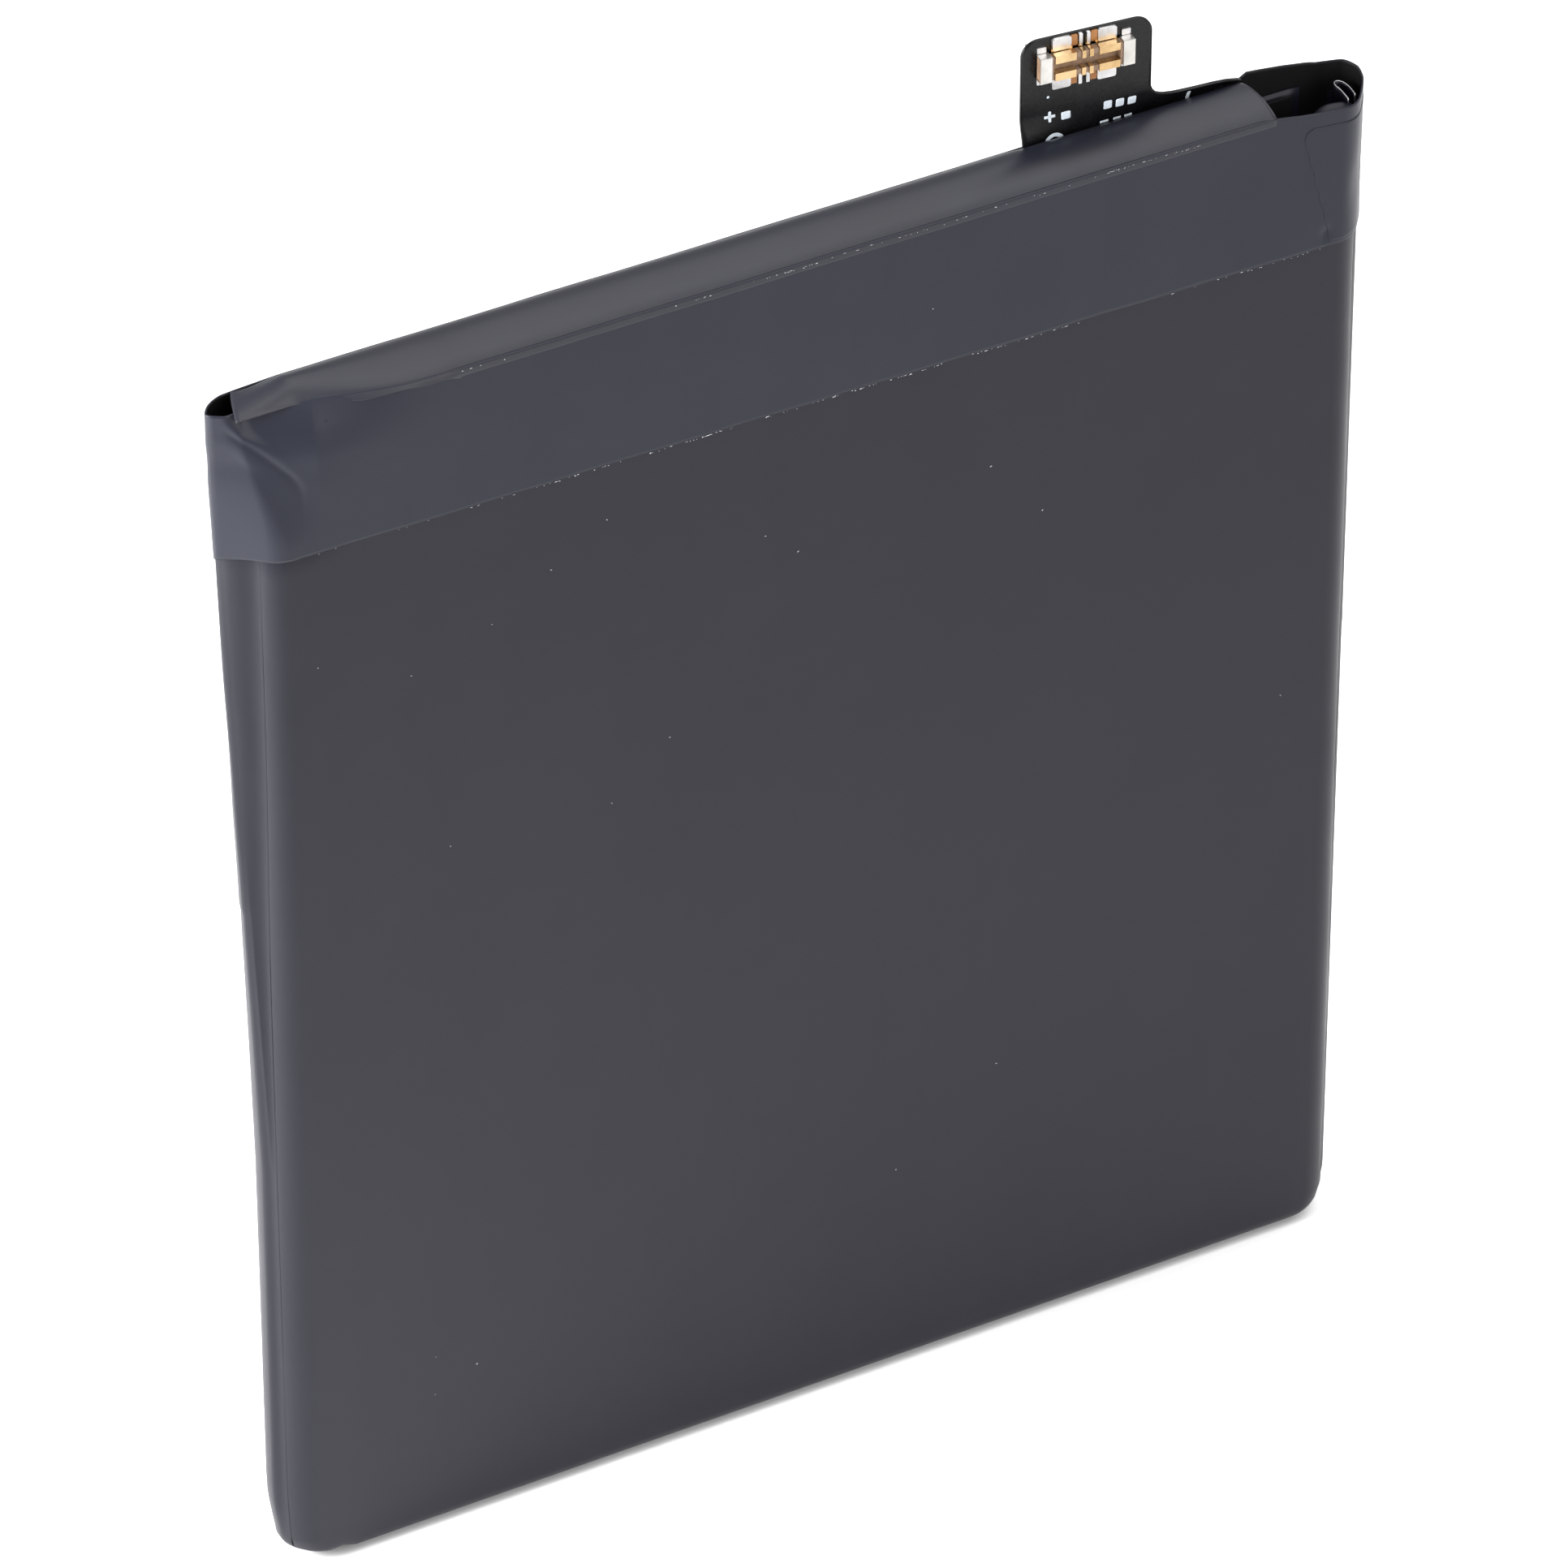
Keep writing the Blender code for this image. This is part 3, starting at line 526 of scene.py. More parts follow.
def band_section(z):
    """What the band is stretched round at this height, in plan."""
    up = float(smooth(65.5, 73.3, z))
    lean = np.interp(z, [64.7, 69.2, 71.0, 72.2, 73.2, 73.65], [0.0, 0.0, 0.09, 0.24, 0.46, 0.66])
    front_left = np.array([-30.17, 0.0]) * (1 - up) + np.array([-32.02, -0.02]) * up
    back_left = np.array([-30.17, 0.0]) * (1 - up) + np.array([-31.35, 1.40]) * up
    radius = HALF_DEPTH * (1 - up) + 0.34 * up
    lean_end = -23.5
    near = np.linspace(-END_X, lean_end, 14)
    points = [
        arc(*front_left, radius, 160, 280, 30),
        arc(*back_left, radius, 80, 180, 30),
        arc(SIDE_X, 0, HALF_DEPTH, -90, 90, 60),
        np.array([[-END_X, HALF_DEPTH - 0.05 * up]]),
        np.stack([near, -HALF_DEPTH + lean * ((near - lean_end) / (END_X + lean_end)) ** 2], 1),
    ]
    for side in (-1, 1):
        line = seal_outer(min(z, FLAP_TOP), side)
        points.append(np.stack([side * (SIDE_X + line[:, 0]), line[:, 1]], 1))
    return np.concatenate(points)


def band_line(z, gap):
    """The band's loop at one height, in four evenly spaced runs: back, left, front and right."""
    loop = hull_line(band_section(z), gap)
    start = np.argmin(np.abs(np.arctan2(loop[:, 1], loop[:, 0])))
    loop = np.roll(loop, -start, axis=0)
    dense = resample(np.concatenate([loop, loop[:1]]), 12000)[:-1]
    behind = dense[:, 1] > 0.45
    crossing = []
    for limit, rear in ((END_X, True), (-END_X, True), (-END_X, False), (END_X, False)):
        score = np.abs(dense[:, 0] - limit) + np.where(behind == rear, 0.0, 1000.0)
        crossing.append(int(np.argmin(score)))
    runs = []
    for i, count in enumerate((BACK_STEPS, LEFT_STEPS, FRONT_STEPS, RIGHT_STEPS)):
        first, last = crossing[i], crossing[(i + 1) % 4]
        if last <= first:
            run = np.concatenate([dense[first:], dense[: last + 1]])
        else:
            run = dense[first : last + 1]
        runs.append(resample(run, count)[:-1])
    return np.concatenate(runs)


def band_rim(x, y):
    """Height of the band's top edge round its loop."""
    front = np.interp(
        x, [-32.0, -29.0, 25.4, 26.2, 27.7, 29.7, 31.0, 32.2],
        [73.38, 73.50, 73.50, 73.40, 73.12, 72.87, 72.72, 72.62],
    )
    back = np.interp(
        x, [-32.0, -29.0, 26.0, 26.5, 26.9, 28.9, 30.8, 32.2],
        [73.38, 73.50, 73.50, 73.92, 73.90, 73.62, 73.28, 73.45],
    )
    turn = smooth(-1.1, 0.35, y)
    return front * (1 - turn) + back * turn


def band_relief(x, y, z, along):
    """How far the tape stands out of a taut loop. along is the distance round the loop from
    the gift-wrap fold, which comes down from the left end's corner."""
    out = 0.020 * BAND_SWELL(x + 2 * y, z) + 0.005 * BAND_RIPPLE(x + 2 * y, z)
    strength = (0.35 + 0.65 * smooth(67.0, 70.0, z)) * smooth(64.4, 65.4, z)
    strength = strength * smooth(72.9, 72.0, z)
    out = out - 0.075 * strength * (hill(0.0, 0.24, along) + 0.25 * hill(-0.40, 0.45, along))
    # Right of the fold the tape rounds over to the roof without a crease
    leaned = smooth(0.05, 1.3, along) * smooth(-22.0, -29.0, x) * smooth(0.3, -0.4, y)
    out = out - leaned * 0.70 * np.clip((z - 70.4) / 3.0, 0, 1) ** 2
    # The end wall is pinched a little below its rim
    end = smooth(-0.6, -1.6, along) * smooth(-31.0, -31.8, x)
    out = out - end * 0.05 * hill(70.6, 0.9, z)
    # The right end: a faint line over the layer below, a hollow at the corner and a dimple
    right_front = smooth(0.0, -1.0, y) * smooth(24.0, 26.0, x)
    crease_x = np.interp(z, [64.1, 66.8, 69.0, 70.6, 71.8], [29.75, 29.2, 28.6, 28.2, 27.9])
    out = out + right_front * 0.04 * hill(0.9, 1.0, x - crease_x)
    out = out - 0.07 * hill(31.3, 0.55, x) * hill(67.6, 1.5, z) * smooth(0.3, -0.5, y)
    dimple = ((x - 29.45) / 0.30) ** 2 + ((z - 65.35) / 0.40) ** 2
    return out - right_front * 0.13 * np.exp(-dimple)


def band_surface(gap):
    """Grid of the band's outer surface, from its lower edge to its rim."""
    rows = []
    for share in [*np.linspace(0, 0.06, 4), *np.linspace(0.09, 1.0, 62)]:
        line = band_line(BAND_LOW + share * (BAND_HIGH - BAND_LOW), gap)
        x, y = line[:, 0], line[:, 1]
        rim = band_rim(x, y)
        z = BAND_LOW + share * (rim - BAND_LOW)
        z = z + (1 - share) ** 6 * 0.02 * np.sin(0.9 * x + 0.6 * np.sin(0.37 * x))
        z = z + (1 - share) ** 4 * np.interp(x, [-30, 30], [0.35, -0.15]) * smooth(1.0, -1.0, y)
        following = np.roll(line, -1, axis=0) - np.roll(line, 1, axis=0)
        normal = np.stack([following[:, 1], -following[:, 0]], 1)
        normal /= np.linalg.norm(normal, axis=1)[:, None]
        steps = np.linalg.norm(np.diff(line, axis=0, append=line[:1]), axis=1)
        travelled = np.concatenate([[0.0], np.cumsum(steps)[:-1]])
        level = float(np.median(z))
        fold = np.array([np.interp(level, FOLD_Z, FOLD_X), np.interp(level, FOLD_Z, FOLD_Y)])
        away = np.sum((line - fold) ** 2, axis=1)
        near = int(np.argmin(away))
        before, here, after = away[near - 1], away[near], away[near + 1]
        between = 0.5 * (before - after) / (before - 2 * here + after)
        push = band_relief(x, y, z, travelled - travelled[near] - between * steps[near])
        rows.append(np.stack([x + normal[:, 0] * push, y + normal[:, 1] * push, z], 1))
    return np.array(rows)


def build_band():
    """The tape round the terminal end, near-black inside, darkened there as painted shade; returns
    its grid of points.
    """
    grid = band_surface(0.03 + TAPE)
    band = grid_piece(
        "band_tape", grid, BAND, TAPE - 0.01, lambda p: (-p[0] * 0.02, -p[1], 0), "cell", "tape",
        closed=True,
    )
    band.data.materials.append(INSIDE_FILM_AND_SHADE)
    thickness = band.modifiers["thickness"]
    thickness.material_offset = 1
    thickness.material_offset_rim = 0
    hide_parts("header_band_tape")
    return grid


def band_front(grid, x, z):
    """The band's outer front y at a place, by interpolation on its grid."""
    first = BACK_STEPS
    front = first + LEFT_STEPS
    last = front + FRONT_STEPS
    heights = grid[:, front:last, 2].mean(axis=1)
    row = np.interp(z, heights, np.arange(len(heights)))
    low = int(np.clip(math.floor(row), 0, len(heights) - 2))
    t = row - low
    line = grid[low, first:last] * (1 - t) + grid[low + 1, first:last] * t
    turn = int(np.argmin(line[:, 0]))
    return float(np.interp(x, line[turn:, 0], line[turn:, 1]))


# --- Roof tape -------------------------------------------------------------------------------


def build_roof(grid):
    """The tape over the top: lapped on the front, lifted there in one wrinkle, and cut off
    short of the right end."""
    wrinkle = Waves(31, 4.5)
    swell = Waves(32, 14.0)
    left, right = -32.4, 26.25
    lap_top = 73.36
    rows = []
    for share in [*np.linspace(0, 0.14, 34), *np.linspace(0.1435, 1.0, 240)]:
        x = left + share * (right - left)
        inside = max(x, LEFT_TURN)
        lift = float(smooth(-27.2, -25.0, x) * smooth(-20.2, -22.0, x))
        lift = lift * (0.88 + 0.12 * math.sin(2.3 * x))
        low = 72.80 + 0.40 * lift + 0.46 * float(smooth(-25.6, -27.6, x))
        lap = []
        for z in np.linspace(low, lap_top, 7):
            stand = 0.006 + 0.15 * lift * float(smooth(73.5, 73.0, z))
            hidden = (1 - lift) * float(smooth(-27.4, -26.4, x)) * float(smooth(low + 0.22, low, z))
            stand = stand - 0.05 * hidden
            lap.append((band_front(grid, inside, z) - stand, z))
        start = np.array(lap[-1])
        arch = bezier(start, start + (0.26, 0.56), (0.30, 74.52), (1.24, 73.93), 30)
        drop = np.array([0.56, -0.55]) * float(smooth(12.9, 12.2, x))
        rear = bezier(arch[-1], arch[-1] + drop * (0.38, 0.15), arch[-1] + drop * (0.9, 0.45),
                      arch[-1] + drop, 8)
        arch = resample(np.concatenate([arch, rear[1:]]), 34)
        line = np.concatenate([lap, arch[1:]])
        t = np.concatenate([np.zeros(len(lap)), np.linspace(0, 1, len(arch))[1:]])
        inner_part = smooth(0.0, 0.15, t) * smooth(1.0, 0.85, t)
        bulge = 0.014 * swell(x, 8 * t) + 0.008 * wrinkle(1.3 * x, 7 * t) * smooth(0.8, 0.1, t)
        line[:, 1] += bulge * inner_part
        slant = -0.45 * t * share**60
        points = np.stack([np.full(len(t), x) + slant, line[:, 0], line[:, 1]], 1)
        if x < LEFT_TURN:
            edge = bezier((-32.45, -0.62, 73.30), (-32.42, -0.2, 73.50), (-31.95, 1.1, 73.50),
                          (-31.60, 1.74, 73.42), len(line) - 1)
            blend = (LEFT_TURN - x) / (LEFT_TURN - left)
            points[:, 0] = LEFT_TURN
            points = points * (1 - blend) + edge * blend
            points[:, 2] -= 0.05 * math.sin(blend * math.pi) * smooth(0.1, 0.5, t)
        rows.append(points)
    roof = grid_piece(
        "roof_tape", np.array(rows), ROOF, 0.06, lambda p: (0, -p[1] * 0.2, -1), "cell", "tape"
    )
    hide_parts("header_roof_tape")


# --- Flexible circuit ------------------------------------------------------------------------


def tail_point(u, w, z):
    """A point u along the tail, w out of its front face, at height z."""
    x = TAIL_X + u * math.cos(TAIL_YAW) + w * math.sin(TAIL_YAW)
    y = FLEX_Y + u * math.sin(TAIL_YAW) - w * math.cos(TAIL_YAW)
    return np.array([x, y, z])


ROUNDED = 0.16  # corner radius of a printed mark or a pad, as a share of its smaller side


def flex_point(u, w, z):
    """The flex stands straight at its root and turns by the tail's yaw above it."""
    turned = tail_point(u, w, z)
    straight = np.array([TAIL_X + u, FLEX_Y - w, z])
    t = float(smooth(73.6, 75.4, z))
    return straight * (1 - t) + turned * t


def build_flex():
    """The flex from the roof tape to its rounded top, with a shoulder on its right."""
    right_z = [72.2, 73.0, 73.7, 74.05, 74.40, 74.52, 74.58, 74.66, 74.80, 75.0, 75.3, 75.6, 90]
    right_x = [26.3, 26.3, 26.25, 26.0, 25.0, 24.2, 23.0, 21.9, 21.25, 20.85, 20.60, 20.49, 20.49]
    shoulder = TAIL_TOP - TAIL_RADIUS
    head = shoulder + TAIL_RADIUS * np.sin(np.linspace(0, math.pi / 2, 12))
    root, bend, top = (72.3, 74.3, 12), (74.36, 75.7, 26), (75.8, 78.9, 16)
    levels = [*np.linspace(*root), *np.linspace(*bend), *np.linspace(*top), *head]
    rows = []
    for z in levels:
        right = np.interp(z, right_z, right_x) - TAIL_X
        inset = TAIL_RADIUS * rounding(TAIL_TOP - z, TAIL_RADIUS)
        columns = np.linspace(inset - TAIL_HALF, right - inset, 40)
        rows.append([flex_point(u, FLEX_FACE, z) for u in columns])
    flex = grid_piece(
        "flex_sheet", np.array(rows), FLEX, 0.15, lambda _: (0, 1, 0), None, "flex"
    )
    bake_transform(flex)
    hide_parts("flex_root", "flex_tail")


def flex_chip(name, u, z, width, height, surface, slot, rise, corner=0.0):
    """A thin raised plate on the flex's front face, with softened edges."""
    half_u, half_z = width / 2, height / 2
    corner = corner or min(width, height) * ROUNDED
    outline = []
    for su, sz, start in ((1, 1, 0), (-1, 1, 90), (-1, -1, 180), (1, -1, 270)):
        for step in range(5):
            angle = math.radians(start + 22.5 * step)
            outline.append((
                u + su * (half_u - corner) + corner * math.cos(angle),
                z + sz * (half_z - corner) + corner * math.sin(angle),
            ))
    rings = []
    for grow, level in ((0.0, 0.0), (0.0, rise * 0.6), (-0.012, rise)):
        ring = []
        for a, b in outline:
            direction = np.array([a - u, b - z])
            direction = direction / max(1e-6, np.linalg.norm(direction))
            a, b = a + grow * direction[0], b + grow * direction[1]
            ring.append(flex_point(a, FLEX_FACE + level, b))
        rings.append(ring)
    loft(name, rings, surface, "flex_tail", slot, flat_angle=35)


def printed(name, u, z, width, height):
    """A thin printed patch, in rows fine enough to bend with the flex under it."""
    corner = min(width, height) * ROUNDED
    face = FLEX_FACE + PRINT_FILM
    rows = []
    for step in np.linspace(-1.0, 1.0, 15):
        level = z + step * height / 2
        half = width / 2 - corner * rounding((1 - abs(step)) * height / 2, corner)
        rows.append([flex_point(a, face, level) for a in np.linspace(u - half, u + half, 7)])
    patch = grid_piece(name, np.array(rows), PRINT, PRINT_FILM, lambda _: (0, 1, 0), None, "tin")
    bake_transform(patch)


def build_marks():
    """Plain printed marks: a plus, a dot, a ring, four blocks, three dashes and a bar."""
    marks = [
        ("mark_dot", 14.75, 76.30, 0.13, 0.13),
        ("mark_plus_bar", 14.85, 75.10, 0.62, 0.16),
        ("mark_plus_post", 14.85, 75.10, 0.16, 0.62),
        ("mark_block_1", 15.75, 74.98, 0.52, 0.44),
        ("mark_block_2", 18.10, 75.00, 0.46, 0.50),
        ("mark_block_3", 18.78, 74.96, 0.46, 0.50),
        ("mark_block_4", 19.46, 74.92, 0.46, 0.50),
        ("mark_dash_1", 17.95, 73.98, 0.50, 0.14),
        ("mark_dash_2", 18.70, 73.96, 0.44, 0.14),
        ("mark_dash_3", 19.35, 73.94, 0.44, 0.14),
        ("mark_bar", 22.83, 73.98, 0.20, 0.90),
    ]
    for name, x, z, width, height in marks:
        printed(name, x - TAIL_X, z, width, height)
    outer, inner = 0.62, 0.42
    centre_u, centre_z = 15.05 - TAIL_X, 73.52
    count = 48
    rings = []
    for radius, level in ((outer, 0.0), (outer, PRINT_FILM), (inner, PRINT_FILM), (inner, 0.0)):
        for step in range(count):
            angle = 2 * math.pi * step / count
            a = centre_u + radius * math.cos(angle)
            b = centre_z + radius * math.sin(angle)
            rings.append(flex_point(a, FLEX_FACE + level, b))
    faces = grid_faces(4, count, closed=True)
    for j in range(count):
        k = (j + 1) % count
        faces.append((3 * count + j, 3 * count + k, k, j))
    pad = add_piece("mark_ring", rings, faces, PRINT, None, "tin")
    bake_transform(pad)


def build_connector_pads():
    """Solder over the contact feet, bare polyimide squares and signal tails round the plug."""
    plug_u, plug_z = -0.20, 78.33
    for row, rows_z, feet_z in (("upper", 1.13, 0.93), ("lower", -1.17, -0.93)):
        for label, side in (("left", -1), ("right", 1)):
            z = plug_z + rows_z
            flex_chip(f"power_pad_{row}_{label}", plug_u + side * 1.26, z, 1.06, 0.72, SOLDER,
                      "tin", rise=0.19, corner=0.12)
            flex_chip(f"bare_square_{row}_{label}", plug_u + side * 0.56, z, 0.40, 0.62, POLYIMIDE,
                      "polyimide", rise=0.115)
            flex_chip(f"signal_tail_{row}_{label}", plug_u + side * 0.215, z, 0.20, 0.72, SOLDER,
                      "tin", rise=0.19)
            flex_chip(f"hold_down_foot_{row}_{label}", plug_u + side * 2.34, plug_z + feet_z, 0.52,
                      0.36, SOLDER, "tin", rise=0.10)


# --- Open end --------------------------------------------------------------------------------


def build_pocket_details():
    """Inside the open end: the folded seal's cut loop and the pouch's shoulder."""
    corners = [
        (31.02, -1.05), (31.06, -0.55), (31.08, -0.15), (31.04, 0.25), (31.12, 0.58),
        (31.32, 0.72), (31.54, 0.66), (31.70, 0.42), (31.76, 0.05), (31.74, -0.35), (31.66, -0.78),
    ]
    line = resample(corners, 48)
    for _ in range(3):
        line[1:-1] = (line[:-2] + 2 * line[1:-1] + line[2:]) / 4
    tops = 72.62 + 0.05 * np.sin(np.linspace(0, 5, len(line)))
    rows = [np.column_stack([line, tops - drop]) for drop in (0.0, 0.25, 0.6, 1.3)]
    loop = grid_piece(
        "seal_loop", np.array(rows), LAMINATE, 0.07, lambda p: (31.4 - p[0], -p[1], 0), "cell",
        "laminate",
    )
    loop.data.materials.append(SEAL_EDGE)
    loop.modifiers["thickness"].material_offset_rim = 1
    x = np.linspace(28.9, 31.5, 26)
    rows = []
    for t in np.linspace(0, 1, 10):
        arch = 72.28 - 0.9 * np.abs((x - 30.3) / 1.6) ** 2.6
        y = -1.35 + 0.75 * t + 0.05 * np.sin(3 * x)
        z = arch + 0.30 * math.sin(t * math.pi * 0.8) - 0.15
        rows.append(np.column_stack([x, y, z]))
    grid_piece(
        "pouch_shoulder", np.array(rows), LAMINATE, 0.08, lambda _: (0, 0, -1), "cell", "laminate"
    )


def build_overlap(grid):
    """The tape's second layer round the open end; its cut edges show as fine lines."""
    first = BACK_STEPS + LEFT_STEPS + 140
    sheet = grid[:, [*range(first, len(grid[0])), *range(12)]]
    front = sheet[:, :, 1] < -1.2
    heights = np.array([row[mask][:, 2].mean() for row, mask in zip(sheet, front)])
    rows = []
    for height in np.linspace(BAND_LOW + 0.12, OVERLAP_Z[-1], 60):
        index = float(np.interp(height, heights, np.arange(len(sheet))))
        low = int(min(len(sheet) - 2, math.floor(index)))
        line = sheet[low] * (1 - index + low) + sheet[low + 1] * (index - low)
        length = lengths(line[:, :2])
        rising = int(np.argmax(line[:, 0]))
        start_x = np.interp(height, OVERLAP_Z, OVERLAP_X) + 0.03 * math.sin(5.0 * height)
        begin = np.interp(start_x, line[:rising, 0], length[:rising])
        at = begin + (length[-1] - begin) * np.linspace(0, 1, 90) ** 1.25
        points = np.stack([np.interp(at, length, line[:, k]) for k in range(3)], 1)
        along = np.gradient(points[:, :2], axis=0)
        normal = np.stack([along[:, 1], -along[:, 0]], 1)
        normal /= np.linalg.norm(normal, axis=1)[:, None]
        points[:, :2] += normal * 0.020
        rows.append(points)
    grid_piece(
        "band_overlap", np.array(rows), BAND, 0.018, lambda p: (29 - p[0], -p[1], 0), "cell",
        "tape",
    )


# --- Dust ------------------------------------------------------------------------------------


def speck(verts, faces, centre, size, along, rise, rng):
    """A flat sliver: a stretched octahedron lying on the surface."""
    centre = np.asarray(centre, float)
    along = np.asarray(along, float) / np.linalg.norm(along)
    out = np.asarray(rise, float) / np.linalg.norm(rise)
    across = np.cross(along, out)
    long, wide = size
    base = len(verts)
    skew = rng.uniform(-0.3, 0.3)
    offsets = (
        along * long, across * wide + along * long * skew, -along * long,
        -across * wide - along * long * skew, out * 0.012, -out * 0.012,
    )
    verts.extend(centre + offset for offset in offsets)
    for i in range(4):
        j = (i + 1) % 4
        faces.append((base + i, base + j, base + 4))
        faces.append((base + j, base + i, base + 5))


def build_dust(grid):
    """Lint along the two tape edges and a few loose specks on the front."""
    rng = random.Random(77)
    verts, faces = [], []
    out = (0, -1, 0.1)
    pouch_y, band_y, foot_y = -1.865, -2.01, -1.64
    for _ in range(130):
        x = rng.uniform(-29.0, 29.4)
        if rng.random() < 0.5:
            x = rng.choice((-13.5, -8.0, -6.0, 1.5, 6.0, 11.0)) + rng.gauss(0, 2.2)
        if not -29 < x < 29.4:
            continue
        index = int(np.argmin(np.abs(grid[0][:, 0] - x) + (grid[0][:, 1] > 0) * 100))
        z = grid[0][index][2] - 0.03 + rng.gauss(0, 0.02)
        size = (rng.uniform(0.02, 0.03 + 0.15 * rng.random() ** 3), rng.uniform(0.008, 0.020))
        speck(verts, faces, (x, -1.985, z), size, (1, 0, rng.gauss(0, 0.06)), out, rng)
    clusters = (-26.0, -21.2, -7.3, -2.0, 1.8, 5.0, 9.0, 13.0, 16.5, 20.5)
    for _ in range(95):
        x = rng.choice(clusters) + rng.gauss(0, 1.3)
        face = band_front(grid, min(x, 28.0), 73.28)
        size = (rng.uniform(0.02, 0.03 + 0.15 * rng.random() ** 3), rng.uniform(0.008, 0.018))
        z = 73.26 + rng.gauss(0, 0.02) + 0.03 * math.sin(0.8 * x)
        speck(verts, faces, (x, face - 0.02, z), size, (1, 0, rng.gauss(0, 0.05)), out, rng)
    loose = [
        (-12.6, 61.5), (-29.0, 58.0), (-23.8, 55.7), (-19.2, 57.3), (-15.8, 59.5), (-3.5, 57.4),
        (-1.6, 55.8), (-12.5, 43.7), (-9.1, 46.7), (12.8, 53.5), (27.6, 36.5), (-23.3, 11.3),
        (-23.4, 8.8), (-20.9, 9.9), (10.5, 18.2), (-21.8, 44.3), (4.4, 13.3), (9.7, 57.3),
        (6.1, 68.3), (-8.2, 0.95),
    ]
    for x, z in loose:
        size = (rng.uniform(0.035, 0.085), rng.uniform(0.012, 0.026))
        y = foot_y if z < 1 else pouch_y if z < 64 else band_y
        turn = rng.uniform(-0.9, 0.9)
        speck(verts, faces, (x, y, z), size, (math.cos(turn), 0, math.sin(turn)), out, rng)
    add_piece("lint", verts, faces, DUST, "cell", "separator", flat_angle=20)


# --- CAD nodes that stay ---------------------------------------------------------------------

KEPT = {
    "separator_inner": SEPARATOR,
    "separator_outer": SEPARATOR,
    "anode_foil": ANODE,
    "cathode_foil": CATHODE,
    "winding_end_tape": STOP_TAPE,
    "positive_tab": ALUMINIUM,
    "negative_tab": NICKEL,
    "positive_tab_film": SEALANT,
    "negative_tab_film": SEALANT,
    "positive_weld_plate": NICKEL,
    "negative_weld_plate": NICKEL,
    "protection_board": SOLDER_MASK,
    "mosfet_pair": PACKAGE,
    "protection_ic": PACKAGE,
    "fuel_gauge_ic": PACKAGE,
    "sense_resistor": PACKAGE,
    "thermistor": CERAMIC,
    "component_tape": POLYIMIDE,
    "header_foam": FOAM,
    "seal_insulator": BLACK_FILM_AND_SHADE,
    "back_label": LABEL,
    "stiffener_plate": STEEL,
    "connector_housing": RESIN,
    "hold_down_left": TIN,
    "hold_down_right": TIN,
}
for number in range(1, 5):
    KEPT[f"chip_capacitor_{number}"] = CERAMIC
    KEPT[f"chip_resistor_{number}"] = PACKAGE
    KEPT[f"power_contact_{number}"] = GOLD
    KEPT[f"signal_contact_{number}"] = GOLD


def paint_kept():
    for name, surface in KEPT.items():
        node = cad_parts[name]
        node.data.materials.clear()
        node.data.materials.append(surface)


# --- Studio ----------------------------------------------------------------------------------

# Places in metres. Boxes: place, target, size and watts. Suns: place, spread and strength.
WORLD_STRENGTH = 0.50
BOXES = {
    "left_box": ((-0.17, 0.02, 0.10), (-0.085, 0.0, 0.0), 0.10, 0.93),
    "right_box": ((0.19, 0.05, 0.10), (0.10, 0.03, 0.0), 0.10, 0.06),
    "top_box": ((0.22, 0.20, 0.55), (0.0, 0.0, 0.06), 0.40, 1.00),
}
SUNS = {
    "high_sun": ((0.13, -0.16, 0.60), 46, 1.25),
    "key_sun": ((0.22, -0.50, 0.23), 44, 1.50),
}

# The photograph's view, solved from the cell's edges in it
CAMERA_AZIMUTH = math.radians(-28.80)
CAMERA_ELEVATION = math.radians(36.46)
CAMERA_DISTANCE = 598.663
CAMERA_RIGHT, CAMERA_UP = -1.226, 1.829  # from the cell's middle to the middle of the picture
FOCAL_PIXELS = 14142.472
PHOTO_PIXELS = 1932.0
SENSOR = 36.0


def aimed(data, name, place, direction):
    """A light or a camera at a place, looking in a direction."""
    obj = bpy.data.objects.new(name, data)
    bpy.context.scene.collection.objects.link(obj)
    obj.location = place
    obj.rotation_mode = "QUATERNION"
    obj.rotation_quaternion = direction.to_track_quat("-Z", "Y")
    return obj


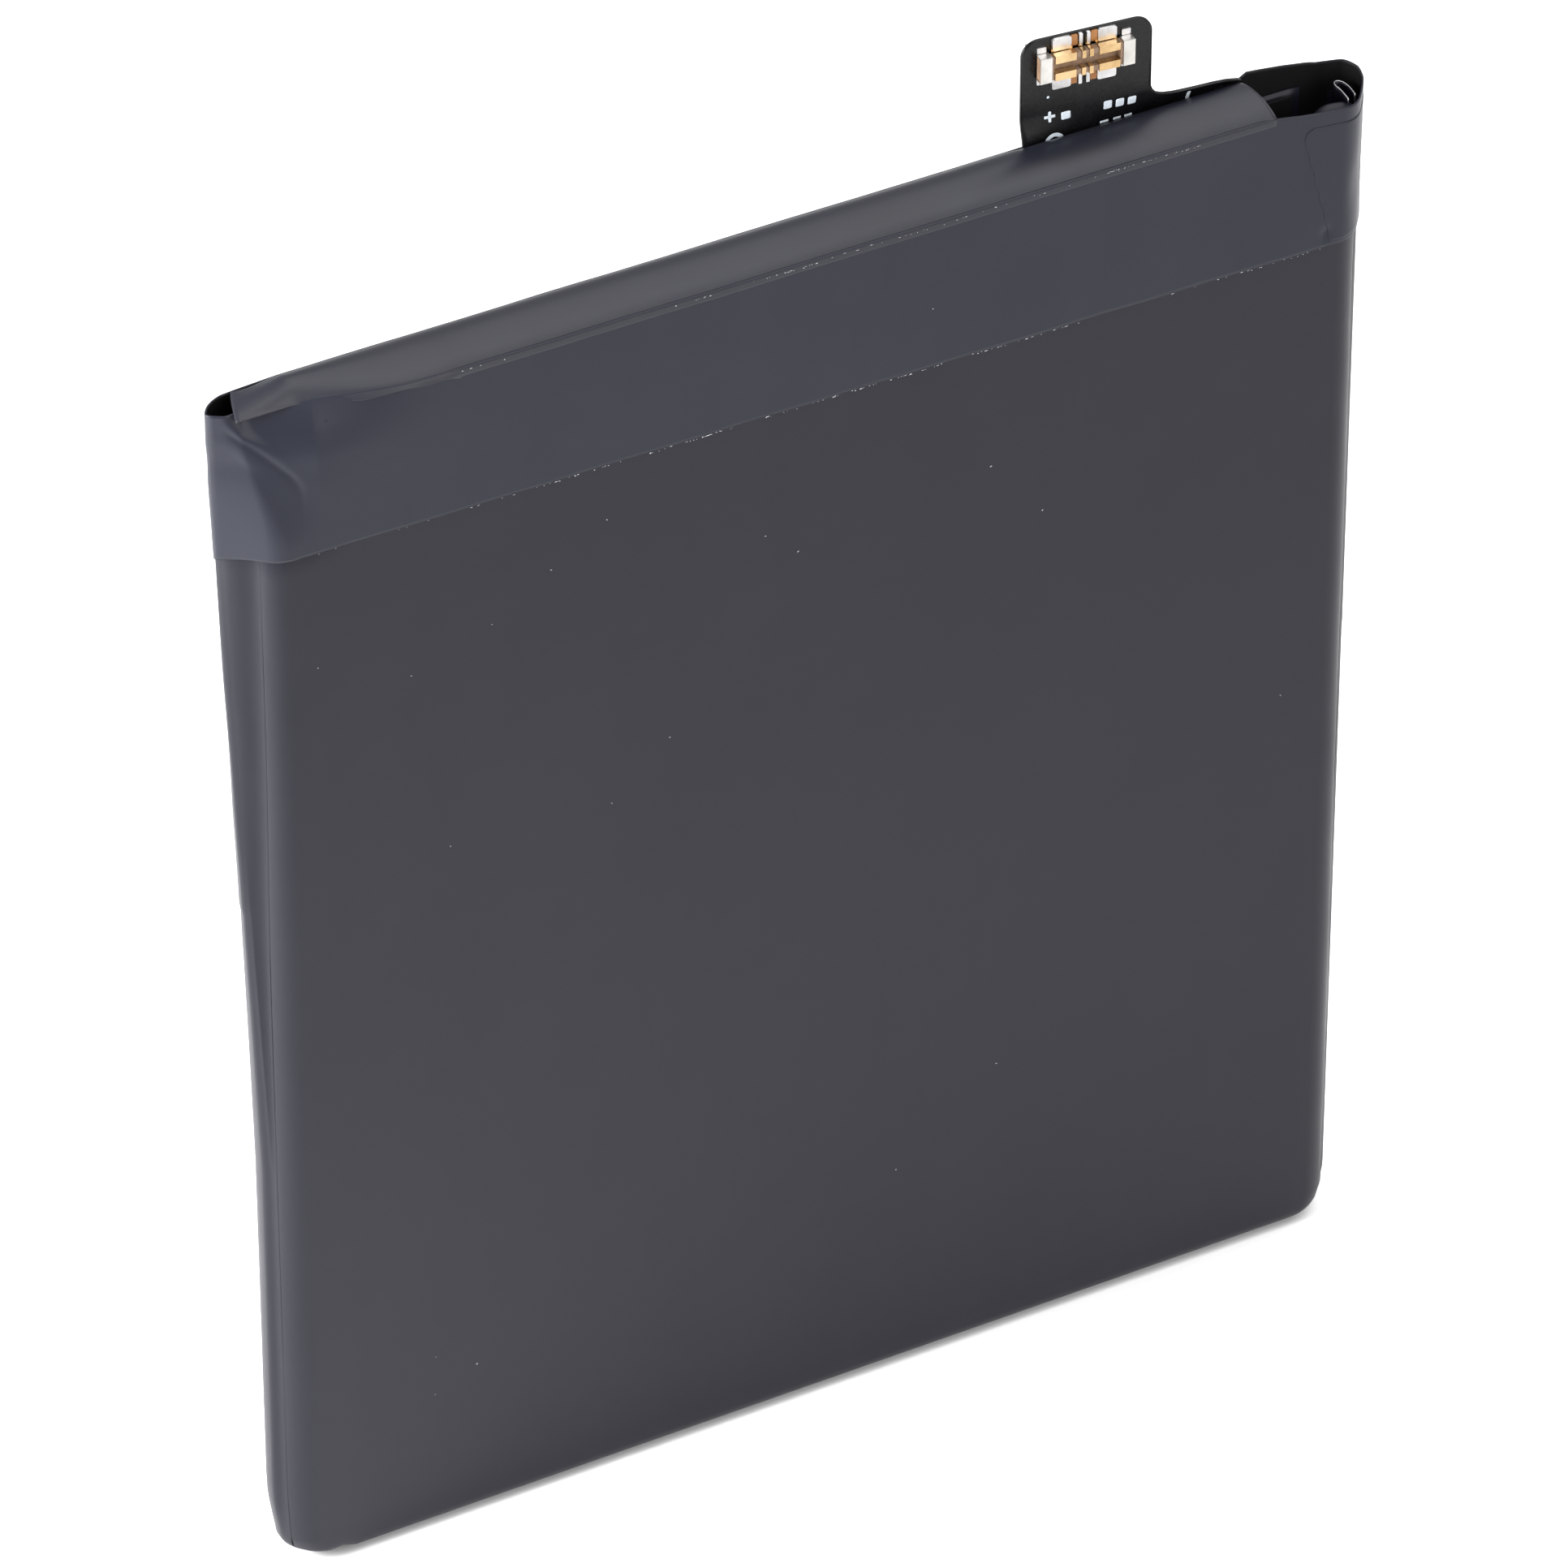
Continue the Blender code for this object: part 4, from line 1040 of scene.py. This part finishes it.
def build_studio():
    """A white world, a pale paper floor, three soft boxes and two wide suns."""
    scene = bpy.context.scene
    scene.view_settings.view_transform = "Standard"
    scene.view_settings.look = "None"
    world = bpy.data.worlds.new("studio")
    scene.world = world
    world.use_nodes = True
    background = world.node_tree.nodes["Background"]
    background.inputs["Color"].default_value = (1.0, 1.0, 1.0, 1.0)
    background.inputs["Strength"].default_value = WORLD_STRENGTH

    floor_mesh = bpy.data.meshes.new("floor")
    bm = bmesh.new()
    bmesh.ops.create_grid(bm, x_segments=8, y_segments=8, size=3.0)
    bm.to_mesh(floor_mesh)
    bm.free()
    floor = bpy.data.objects.new("floor", floor_mesh)
    scene.collection.objects.link(floor)
    floor.location.z = -0.0002
    paper = Shader("studio_paper", 0.85, ior=1.3)
    grain = paper.noise(60, 3.0)
    paper.drive("Base Color", paper.blend(grain, (0.93, 0.93, 0.93), (0.95, 0.95, 0.95)))
    floor_mesh.materials.append(paper.material)

    for name, (place, target, size, power) in BOXES.items():
        light = bpy.data.lights.new(name, "AREA")
        light.shape = "SQUARE"
        light.size = size
        light.energy = power
        aimed(light, name, place, Vector(target) - Vector(place))
    for name, (place, spread, strength) in SUNS.items():
        light = bpy.data.lights.new(name, "SUN")
        light.angle = math.radians(spread)
        light.energy = strength
        aimed(light, name, place, -Vector(place))


def build_camera():
    back = Vector((
        math.sin(CAMERA_AZIMUTH) * math.cos(CAMERA_ELEVATION),
        -math.cos(CAMERA_AZIMUTH) * math.cos(CAMERA_ELEVATION),
        math.sin(CAMERA_ELEVATION),
    ))
    rotation = (-back).to_track_quat("-Z", "Y")
    right, up = rotation @ Vector((1, 0, 0)), rotation @ Vector((0, 1, 0))
    look = Vector((0, 0, 37.0)) + right * CAMERA_RIGHT + up * CAMERA_UP
    data = bpy.data.cameras.new("camera")
    data.sensor_width = SENSOR
    data.lens = SENSOR * FOCAL_PIXELS / PHOTO_PIXELS
    data.clip_start = 0.01
    data.clip_end = 20.0
    camera = aimed(data, "camera", (look + back * CAMERA_DISTANCE) * MM, -back)
    bpy.context.scene.camera = camera


build_camera()
build_studio()
paint_kept()
build_pouch()
build_seal(-1, "seal_left")
build_seal(1, "seal_right")
band_grid = build_band()
build_roof(band_grid)
build_overlap(band_grid)
build_pocket_details()
build_flex()
build_marks()
build_connector_pads()
build_dust(band_grid)
